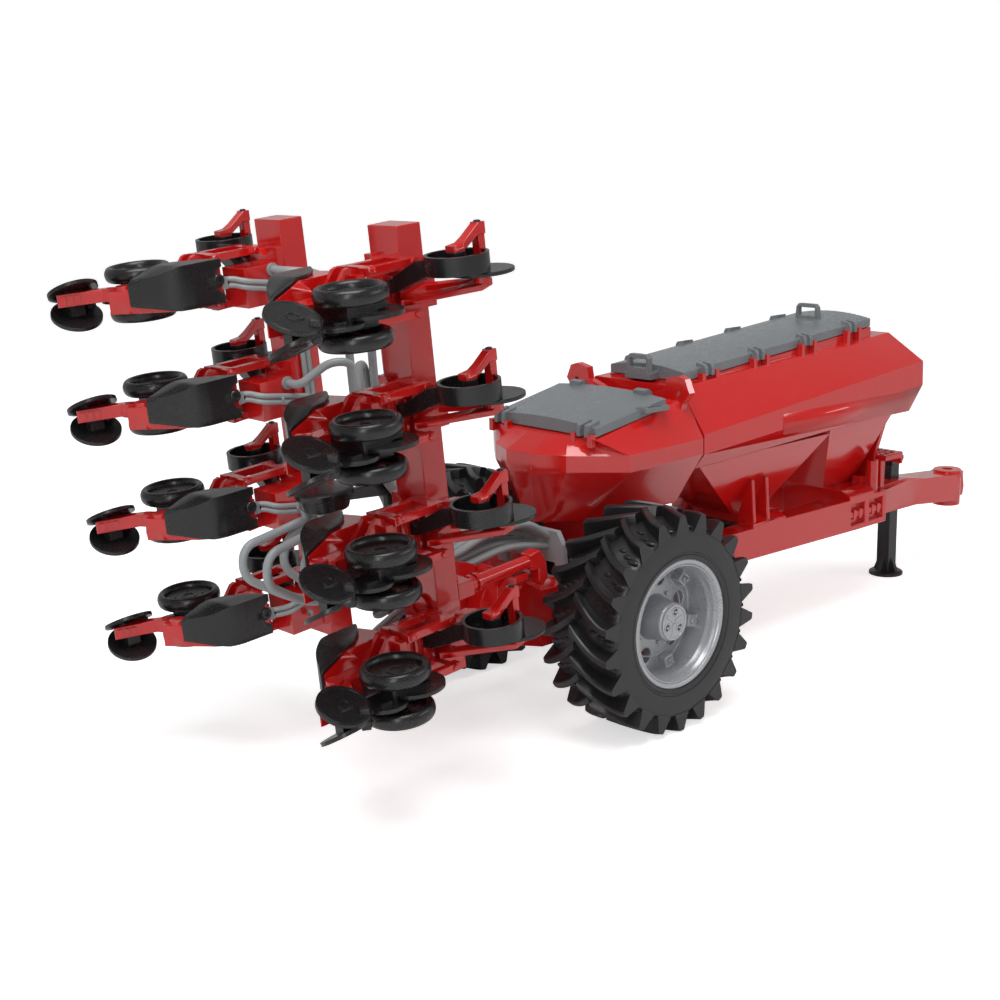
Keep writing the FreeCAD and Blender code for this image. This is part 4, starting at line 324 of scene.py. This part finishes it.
def rounded(name):
    angle = math.radians(rounding["angle"].get(name, rounding["otherAngle"]))
    kind = name.removesuffix("_left").removesuffix("_right")
    shortest = rounding["shortest"].get(kind, 0.0)
    bm = bmesh.new()
    bm.from_mesh(nodes[name].data)
    bmesh.ops.remove_doubles(bm, verts=bm.verts, dist=2e-6)
    bmesh.ops.join_triangles(bm, faces=bm.faces, angle_face_threshold=0.01, angle_shape_threshold=3.1)
    weight = bm.edges.layers.float.new("bevel_weight_edge")
    for edge in bm.edges:
        sharp = edge.calc_face_angle(0.0) > angle
        edge.smooth = not sharp
        edge[weight] = 1.0 if sharp and edge.calc_length() > shortest else 0.0
    piece = newPiece(name + "_moulded", bm)
    bevel = piece.modifiers.new("edges", "BEVEL")
    bevel.width = rounding["width"][slots[name]]
    bevel.segments = 2
    bevel.limit_method = "WEIGHT"
    bevel.use_clamp_overlap = name != "front_tank"  # its slivers would hold the other edges back
    piece.modifiers.new("normals", "WEIGHTED_NORMAL").keep_sharp = True
    finished(piece, bodyOf[name], slots[name])
    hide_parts(name)


def dressFrame():
    for name, node in nodes.items():
        node.data.materials.clear()
        node.data.materials.append(materials[slots[name]])
        if slots[name] in rounding["width"] and not name.startswith(rounding["madeAgain"]):
            rounded(name)
        elif slots[name] == "hose_grey":
            for face in node.data.polygons:
                face.use_smooth = True


# tyres with curved bars, replacing the plainer solids
# bead: out from the rim and in from the side; shoulder: below the bars' tops and in from the side
tyreForm = {
    "around": 132,
    "bead": [(0.0, 0.0010), (0.0006, 0.0004), (0.0018, 0.0002),
             (0.0022, 0.0006), (0.0030, 0.0006), (0.0034, 0.0002)],
    "shoulder": [(0.0093, 0.0001), (0.0087, 0.0002), (0.0080, 0.0008), (0.0073, 0.0020), (0.0066, 0.0040)],
    "dimples": [(0.20, 0.0030), (0.42, 0.0024), (0.61, 0.0019)],  # share of the way in, and length across
    "dimpleWidth": 0.52,
    "dimpleDepth": 0.0007,
    "crown": {"depth": 0.0045, "bow": 0.0053, "until": 0.6, "sideDepth": 0.0064, "sideSlope": 0.0008},
    "overGround": 0.00005,
    "overRim": 0.00003,
}
barForm = {
    "count": 22, "steps": 9, "reach": 1.07, "sweep": 0.011, "sweepPower": 1.6, "height": 0.0087,
    "halfTop": 0.0015, "endHalfTop": 0.0003, "foot": 0.0007, "endFoot": 0.0029, "endDrop": 0.0008,
    "endFade": 8.0, "chamfer": 0.0006, "chamferDrop": 0.0007,
}


# how far a bar has swept back round the tyre, s of the way from the side to the middle
def barSweep(s):
    return barForm["sweep"] * s ** barForm["sweepPower"]


def tyreBar(bm, hub, turn, flip, radius, half):
    def place(i, j):
        s = barForm["reach"] * j / barForm["steps"]
        slope = barForm["sweepPower"] * barForm["sweep"] * s ** (barForm["sweepPower"] - 1.0)
        end = math.exp(-barForm["endFade"] * s)
        top = (barForm["halfTop"] + barForm["endHalfTop"] * end) * math.hypot(1.0, slope / half)
        base = top + barForm["foot"] + barForm["endFoot"] * end
        foot = radius - barForm["height"]
        crown = radius - barForm["endDrop"] * end
        edge, shoulder = top - barForm["chamfer"], crown - barForm["chamferDrop"]
        outline = [(-base, foot), (-top, shoulder), (-edge, crown),
                   (edge, crown), (top, shoulder), (base, foot)]
        aside, high = outline[i]
        angle = turn + (barSweep(s) + aside) / radius
        return hub + Vector((high * math.sin(angle), half * (1.0 - s) * flip, high * math.cos(angle)))

    verts = sheet(bm, 5, barForm["steps"], place)
    bm.faces.new(verts[:6])
    bm.faces.new(verts[-6:])


# the tread between the bars, v of the way from the middle to the side
def crownHeight(radius, v):
    form = tyreForm["crown"]
    if v < form["until"]:
        return radius - form["depth"] - form["bow"] * v * v
    return radius - form["sideDepth"] - form["sideSlope"] * (v - form["until"])


def dimples(bm, hub, turn, flip, radius, half):
    for s, long in tyreForm["dimples"]:
        angle = turn + 0.5 * math.tau / barForm["count"] + barSweep(s) / radius
        out = Vector((math.sin(angle), 0.0, math.cos(angle)))
        place = hub + out * crownHeight(radius, 1.0 - s) + Vector((0.0, flip * half * (1.0 - s), 0.0))
        turned = Matrix.Translation(place) @ Matrix.Rotation(angle, 4, "Y")
        scaled = Matrix.Diagonal((long * tyreForm["dimpleWidth"], long, tyreForm["dimpleDepth"], 1.0))
        bmesh.ops.create_uvsphere(bm, u_segments=12, v_segments=6, radius=1.0, matrix=turned @ scaled)


def tyre(side, across):
    low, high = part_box(f"tyre_{side}")
    rimLow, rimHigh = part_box(f"rim_{side}")
    hub = Vector(joints[f"wheel_{side}_spin"]["pos_m"])
    radius, half = hub.z - tyreForm["overGround"], (high[1] - low[1]) / 2
    rim = (rimHigh[2] - rimLow[2]) / 2 + tyreForm["overRim"]
    wall = [(rim + out, half - inward) for out, inward in tyreForm["bead"]]
    wall += [(radius - down, half - inward) for down, inward in tyreForm["shoulder"]]
    wall += [(crownHeight(radius, v), half * v) for v in (0.6, 0.4, 0.2)]
    profile = wall + [(crownHeight(radius, 0.0), 0.0)] + [(r, -y) for r, y in reversed(wall)] + [wall[0]]
    bm = bmesh.new()
    revolve(bm, profile, hub, (0.0, 1.0, 0.0), tyreForm["around"])
    for k in range(barForm["count"]):
        for flip, start in ((across, k), (-across, k + 0.5)):
            turn = math.tau * start / barForm["count"]
            tyreBar(bm, hub, turn, flip, radius, half)
            dimples(bm, hub, turn, flip, radius, half)
    piece = newPiece(f"tyre_{side}_tread", creased(bm, 30.0))
    finished(piece, f"wheel_{side}", "tyre")
    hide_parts(f"tyre_{side}")


# bolts, hub cap and raised rings of the large rims; heights are out from the wheel's middle
rimForm = {
    "bolts": {"count": 6, "first": 15.0},
    "heads": [(0.0210, 0.0070, 0.0016, 0.0012, 6),  # nuts: ring's radius, way out, radius, height and sides
              (0.0210, 0.0080, 0.0008, 0.0014, 12),  # the bolts' ends in the nuts
              (0.0125, 0.0018, 0.0011, 0.0012, 10)],  # pins nearer the cap
    "capFace": 0.0142,
    "cap": [(0.0078, -0.0004), (0.0078, 0.0005), (0.0070, 0.0005), (0.0068, 0.0001), (0.0, 0.0001)],
    "bosses": {"count": 3, "first": 40.0, "ring": 0.0046},
    "boss": [(0.0019, -0.0002), (0.0019, 0.0005), (0.0015, 0.0005), (0.0013, 0.0001), (0.0007, 0.0001),
             (0.0006, 0.0005), (0.0, 0.0005)],
    "rib": {"from": 0.0004, "to": 0.0058, "half": 0.0007, "high": 0.0005, "deep": 0.0009},
    "dishAt": 0.0020,
    "dish": [(0.0182, -0.0001), (0.0180, 0.0004), (0.0176, 0.0004), (0.0174, -0.0001)],
    "lipDepth": 0.0012,
    "lip": [(0.0262, 0.0), (0.0260, 0.0005), (0.0255, 0.0005), (0.0253, 0.0)],
}


def spokes(count, first):
    turns = [math.radians(first + k * 360.0 / count) for k in range(count)]
    return [Vector((math.cos(turn), 0.0, -math.sin(turn))) for turn in turns]


def wheelDetails(side, across):
    hub = Vector(joints[f"wheel_{side}_spin"]["pos_m"])
    low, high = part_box(f"rim_{side}")
    out = Vector((0.0, across, 0.0))
    face = abs((high if across > 0 else low)[1] - hub.y)
    cap = hub + out * rimForm["capFace"]
    bolts, bosses, rib = rimForm["bolts"], rimForm["bosses"], rimForm["rib"]
    bm = bmesh.new()
    for spoke in spokes(bolts["count"], bolts["first"]):
        for ring, reach, radius, height, steps in rimForm["heads"]:
            stud(bm, hub + spoke * ring + out * reach, out, radius, height, steps)
    for spoke in spokes(bosses["count"], bosses["first"]):
        revolve(bm, rimForm["boss"], cap + spoke * bosses["ring"], out, 16)
    for spoke in spokes(bosses["count"], bosses["first"] + 180.0 / bosses["count"]):
        aside = spoke.cross(out) * rib["half"]
        near, far = (cap + spoke * rib[end] + out * rib["high"] for end in ("from", "to"))
        slab(bm, [near - aside, far - aside, far + aside, near + aside], out * -rib["deep"])
    revolve(bm, rimForm["cap"], cap, out, 48)
    revolve(bm, rimForm["dish"], hub + out * rimForm["dishAt"], out, 64)
    revolve(bm, rimForm["lip"], hub + out * (face - rimForm["lipDepth"]), out, 96)
    finished(newPiece(f"rim_{side}_bolts", creased(bm)), f"wheel_{side}", "rim_grey")


# gauge wheels in pairs on a pin; the face runs from the tread's round to the middle
gaugeForm = {
    "radius": 0.0135, "half": 0.0030, "round": 0.00195, "apart": 0.0079,
    "back": [(0.0, 0.0020), (0.0089, 0.0022)],  # up from the wheel's back
    "face": [(0.0093, 0.0006), (0.0087, 0.0003), (0.0036, 0.0002), (0.0034, 0.0005), (0.0026, 0.0005),
             (0.0022, 0.0001), (0.0, 0.0001)],
    "bolts": {"turns": (20, 110, 200, 290), "ring": 0.0058, "proud": 0.0002, "size": (0.0005, 0.0003, 10)},
    "pin": 0.0016,
    "pinLap": 0.0019,
}


def gaugeWheels(side, k):
    joint = joints[f"gauge_{side}_{k}_spin"]
    centre, axis = Vector(joint["pos_m"]), Vector(joint["axis"])
    across = axis.orthogonal().normalized()
    half, bulge, bolts = gaugeForm["half"], gaugeForm["round"], gaugeForm["bolts"]
    turns = [math.radians(degrees) for degrees in range(-90, 181, 15)]
    profile = [(radius, high - half) for radius, high in gaugeForm["back"]]
    profile += [(gaugeForm["radius"] - bulge + bulge * math.cos(t), half * math.sin(t)) for t in turns]
    profile += gaugeForm["face"]
    bm = bmesh.new()
    for up in (-gaugeForm["apart"], gaugeForm["apart"]):
        revolve(bm, profile, centre + axis * up, axis)
        for degrees in bolts["turns"]:
            spoke = Matrix.Rotation(math.radians(degrees), 3, axis) @ across
            place = centre + axis * (up + bolts["proud"]) + spoke * bolts["ring"]
            stud(bm, place, axis, *bolts["size"])
    reach = gaugeForm["apart"] - gaugeForm["pinLap"]
    revolve(bm, [(gaugeForm["pin"], -reach), (gaugeForm["pin"], reach)], centre, axis, 24)
    piece = newPiece(f"gauge_wheels_{side}_{k}_dished", creased(bm, 45.0))
    finished(piece, f"gauge_{side}_{k}", "black")
    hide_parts(f"gauge_wheels_{side}_{k}")


# a place on the toolbar: ahead of the axle, out to the side and up the lean
def onToolbar(x, y, z):
    return toolbar @ Vector((x, y, z))


def onRow(at, z, across):
    x, y, up = at
    return onToolbar(x, y * across, z + up)


# hoods of the row units: a rounded bend, a notch for the twin hoses, and a roof that narrows to the tail
hoodForm = {
    "frontX": (-0.1300, -0.1308, -0.1317, -0.1325, -0.1332, -0.1337, -0.1340, -0.1375),
    "frontY": 0.0295,
    "bend": ((-0.1410, 0.02987), (-0.1525, 0.0290), (-0.1585, 0.0425)),
    "bendSteps": 14,
    "tail": (-0.1620, 0.0480),
    "roof": ((-0.1340, 0.0365), (-0.1420, 0.0440), (-0.1530, 0.0476), (-0.1612, 0.0482)),
    "notch": {"x": -0.1285, "up": 0.0045, "radius": 0.0055},
    "top": {"up": 0.0130, "tailUp": 0.0070, "from": -0.1480, "over": 0.0150},
    "foot": {"up": -0.0045, "tailUp": -0.0015, "from": -0.1500, "over": 0.0130},
    "wall": 0.0011,
    "edge": 0.00025,
}


def hoodPath():
    start, control, end = (Vector(point) for point in hoodForm["bend"])
    front = Vector((hoodForm["frontX"][0], hoodForm["frontY"]))
    slope = (start.y - front.y) / (start.x - front.x)
    path = [Vector((x, front.y + slope * (x - front.x))) for x in hoodForm["frontX"]]
    for k in range(hoodForm["bendSteps"] + 1):
        t = k / hoodForm["bendSteps"]
        path.append(start * (1 - t) ** 2 + control * 2 * t * (1 - t) + end * t ** 2)
    return path + [Vector(hoodForm["tail"])]


def hoodEdge(edge, x):
    share = min(max((edge["from"] - x) / edge["over"], 0.0), 1.0)
    return edge["up"] + (edge["tailUp"] - edge["up"]) * share


def hood(bm, z, across):
    path, notch = hoodPath(), hoodForm["notch"]
    roof = [Vector(point) for point in hoodForm["roof"]]
    middle = z + notch["up"]

    def wallPlace(end, way, i, k):
        x, y = path[k]
        half = math.sqrt(max(notch["radius"] ** 2 - (x - notch["x"]) ** 2, 0.0))
        start = middle + way * half
        return onToolbar(x, y * across, start + (z + hoodEdge(hoodForm[end], x) - start) * i / 4)

    def roofPlace(i, k):
        reach = (len(roof) - 1) * k / (len(path) - 1)
        part = min(int(reach), len(roof) - 2)
        spot = path[k].lerp(roof[part].lerp(roof[part + 1], reach - part), i / 2)
        return onToolbar(spot.x, spot.y * across, z + hoodEdge(hoodForm["top"], path[k].x))

    for end, way in (("foot", -1.0), ("top", 1.0)):
        sheet(bm, 4, len(path) - 1, lambda i, k: wallPlace(end, way, i, k))
    sheet(bm, 2, len(path) - 1, roofPlace)


def hoods(side, across):
    bm = bmesh.new()
    for z in rows:
        hood(bm, z, across)
    bmesh.ops.remove_doubles(bm, verts=bm.verts, dist=2e-5)
    piece = newPiece(f"unit_covers_{side}_bent", creased(bm, 40.0))
    wall = piece.modifiers.new("wall", "SOLIDIFY")
    wall.thickness = hoodForm["wall"]
    wall.offset = -1.0
    soft = piece.modifiers.new("edges", "BEVEL")
    soft.width = hoodForm["edge"]
    soft.segments = 2
    soft.angle_limit = math.radians(50.0)
    finished(piece, f"wing_{side}", "black")
    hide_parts(f"unit_covers_{side}")


# small parts of each row, placed ahead of the axle, out to the side and up from the row's middle
# a size is a head's radius and height, and its sides where they aren't twelve
rowForm = {
    "closing": {"x": -0.1718, "y": 0.0737, "apart": 0.0043, "lean": 27.0, "toe": 4.3, "proud": 0.0015,
                "hub": [(0.0026, -0.0002), (0.0025, 0.0003), (0.0020, 0.0003), (0.0019, -0.0002)],
                "rim": [(0.0100, -0.0006), (0.0096, 0.0001), (0.0090, 0.0001), (0.0088, -0.0003)]},
    "armPins": {"x": (-0.1045, -0.1243), "faces": {0.0575: 1.0, 0.0420: -1.0}, "up": (0.0115, -0.0078),
                "size": (0.0013, 0.0008)},
    "knob": {"at": (-0.1318, 0.0305, 0.0045),
             "form": [(0.0026, -0.0012), (0.0026, 0.0006), (0.0021, 0.0011),
                      (0.0010, 0.0011), (0.0008, 0.0005), (0.0, 0.0005)]},
    "tail": {"at": (-0.1803, 0.0711, 0.0023), "along": (0.909, -0.414), "ribs": (0.0022, 0.0050, 0.0078),
             "halfWide": 0.001, "halfHigh": 0.0017, "proud": 0.0007, "deep": 0.0012},
    "beamNuts": {"at": [(-0.0953, 0.0460, 0.0075), (-0.0953, 0.0460, -0.0050)],
                 "size": (0.0018, 0.0007, 6)},
    "overArmPin": {"at": (-0.0868, 0.0745, 0.0240), "size": (0.0013, 0.0006)},
    "leverPin": {"at": (-0.1264, 0.0335, 0.0025), "size": (0.0016, 0.0008)},
    "tie": {"at": (-0.1120, 0.0270, -0.0010),
            "form": [(0.0013, -0.0006), (0.0016, -0.0005), (0.0016, 0.0005), (0.0013, 0.0006)]},
}


def closingRings(bm, z, across):
    form = rowForm["closing"]
    lean, toe = math.radians(form["lean"]), math.radians(form["toe"])
    for tilt, turn, away in ((lean, toe, 1.0), (math.pi - lean, -toe, -1.0)):
        normal = Matrix.Rotation(turn, 3, "Y") @ Matrix.Rotation(-tilt * across, 3, "X") @ Vector((0, 0, 1))
        normal = (toolbar.to_3x3() @ normal).normalized()
        place = onRow((form["x"], form["y"], form["apart"] * away), z, across) + normal * form["proud"]
        revolve(bm, form["hub"], place, normal, 24)
        revolve(bm, form["rim"], place, normal, 48)


def tailRibs(bm, z, across):
    form = rowForm["tail"]
    x, y, up = form["at"]
    along = Vector((form["along"][0], form["along"][1] * across, 0.0))
    outward = Vector((form["along"][1], -form["along"][0] * across, 0.0))
    wide, high = along * form["halfWide"], Vector((0.0, 0.0, form["halfHigh"]))
    for step in form["ribs"]:
        centre = Vector((x, y * across, z + up)) + along * step + outward * form["proud"]
        corners = [centre - wide - high, centre + wide - high, centre + wide + high, centre - wide + high]
        slab(bm, [toolbar @ corner for corner in corners], toolbar.to_3x3() @ (outward * -form["deep"]))


def rowDetails(side, across):
    ahead, up = (toolbar.to_3x3() @ Vector(axis) for axis in ((1, 0, 0), (0, 0, 1)))
    out = Vector((0.0, across, 0.0))
    armPins, beamNuts, knob, tie = (rowForm[word] for word in ("armPins", "beamNuts", "knob", "tie"))
    overArmPin, leverPin = rowForm["overArmPin"], rowForm["leverPin"]
    black, red, grey = bmesh.new(), bmesh.new(), bmesh.new()
    for z in rows:
        closingRings(black, z, across)
        for x in armPins["x"]:
            for y, way in armPins["faces"].items():
                for lift in armPins["up"]:
                    stud(red, onRow((x, y, lift), z, across), out * way, *armPins["size"])
        revolve(black, knob["form"], onRow(knob["at"], z, across), -out, 20)
        tailRibs(red, z, across)
        for at in beamNuts["at"]:
            stud(red, onRow(at, z, across), out, *beamNuts["size"])
        stud(black, onRow(overArmPin["at"], z, across), up, *overArmPin["size"])
        stud(black, onRow(leverPin["at"], z, across), ahead, *leverPin["size"])
        revolve(grey, tie["form"], onRow(tie["at"], z, across), ahead, 16)
    for tag, bm, slot in (("marks", black, "black"), ("pins", red, "red"), ("ties", grey, "hose_grey")):
        finished(newPiece(f"row_{tag}_{side}", creased(bm)), f"wing_{side}", slot)


# cheeks that close the lower corner of the front tank's upright band; places are from the axle
cheekForm = {
    "heel": (0.0586, 0.04205, 0.1092), "tip": (0.2288, 0.0470, 0.1207), "chin": (0.2175, 0.04668, 0.1083),
    "inner": (0.2175, 0.0379, 0.1065), "front": (0.2288, 0.0380, 0.1069),
}
cheekFaces = ("heel tip chin", "heel chin inner", "tip front inner chin", "heel inner front tip")


def tankCheeks():
    bm = bmesh.new()
    for across in sides.values():
        corners = {word: bm.verts.new((axleX + x, y * across, z)) for word, (x, y, z) in cheekForm.items()}
        for face in cheekFaces:
            bm.faces.new([corners[word] for word in face.split()])
    finished(newPiece("tank_cheeks", creased(bm, 15.0)), "chassis", "red")


# bare label plates: one laid on the rear tank's bowed back, and one on each side of the front tank
rearLabelForm = {"x": -0.019, "y": (0.0150, -0.0206), "z": (0.1018, 0.1122),
                 "squares": (24, 4), "proud": 0.00012}
sideLabelForm = {"x": (0.1146, 0.2160), "y": (0.04394, 0.04690),
                 "low": (0.1104, 0.1086), "high": (0.1205, 0.1188), "deep": 0.0006}


def rearLabel():
    mesh = nodes["rear_tank"].data
    tank = BVHTree.FromPolygons([v.co for v in mesh.vertices], [list(p.vertices) for p in mesh.polygons])
    form, ahead = rearLabelForm, Vector((1.0, 0.0, 0.0))
    (left, right), (low, high), (wide, tall) = form["y"], form["z"], form["squares"]

    def place(i, j):
        y, z = left + (right - left) * i / wide, low + (high - low) * j / tall
        behind = Vector((axleX + form["x"] - 0.05, y, z))
        return tank.ray_cast(behind, ahead)[0] - ahead * form["proud"]

    bm = bmesh.new()
    sheet(bm, wide, tall, place)
    finished(newPiece("rear_label", creased(bm)), bodyOf["rear_tank"], "red", "label_red")


def sideLabel(side, across):
    form = sideLabelForm
    back, front = ((axleX + x, y * across) for x, y in zip(form["x"], form["y"]))
    (backLow, frontLow), (backHigh, frontHigh) = form["low"], form["high"]
    bm = bmesh.new()
    corners = [(*back, backLow), (*front, frontLow), (*front, frontHigh), (*back, backHigh)]
    slab(bm, corners, (0.0, -form["deep"] * across, 0.0))
    finished(newPiece(f"side_label_{side}", creased(bm, 20.0)), bodyOf["front_tank"], "red", "label_red")


setCamera()
setStudio()
dressFrame()
print("frame dressed")
for side, across in sides.items():
    tyre(side, across)
    wheelDetails(side, across)
    for k in rowNumbers:
        gaugeWheels(side, k)
    hoods(side, across)
    rowDetails(side, across)
print("wheels and rows dressed")
tankCheeks()
rearLabel()
for side, across in sides.items():
    sideLabel(side, across)
print("tanks dressed")
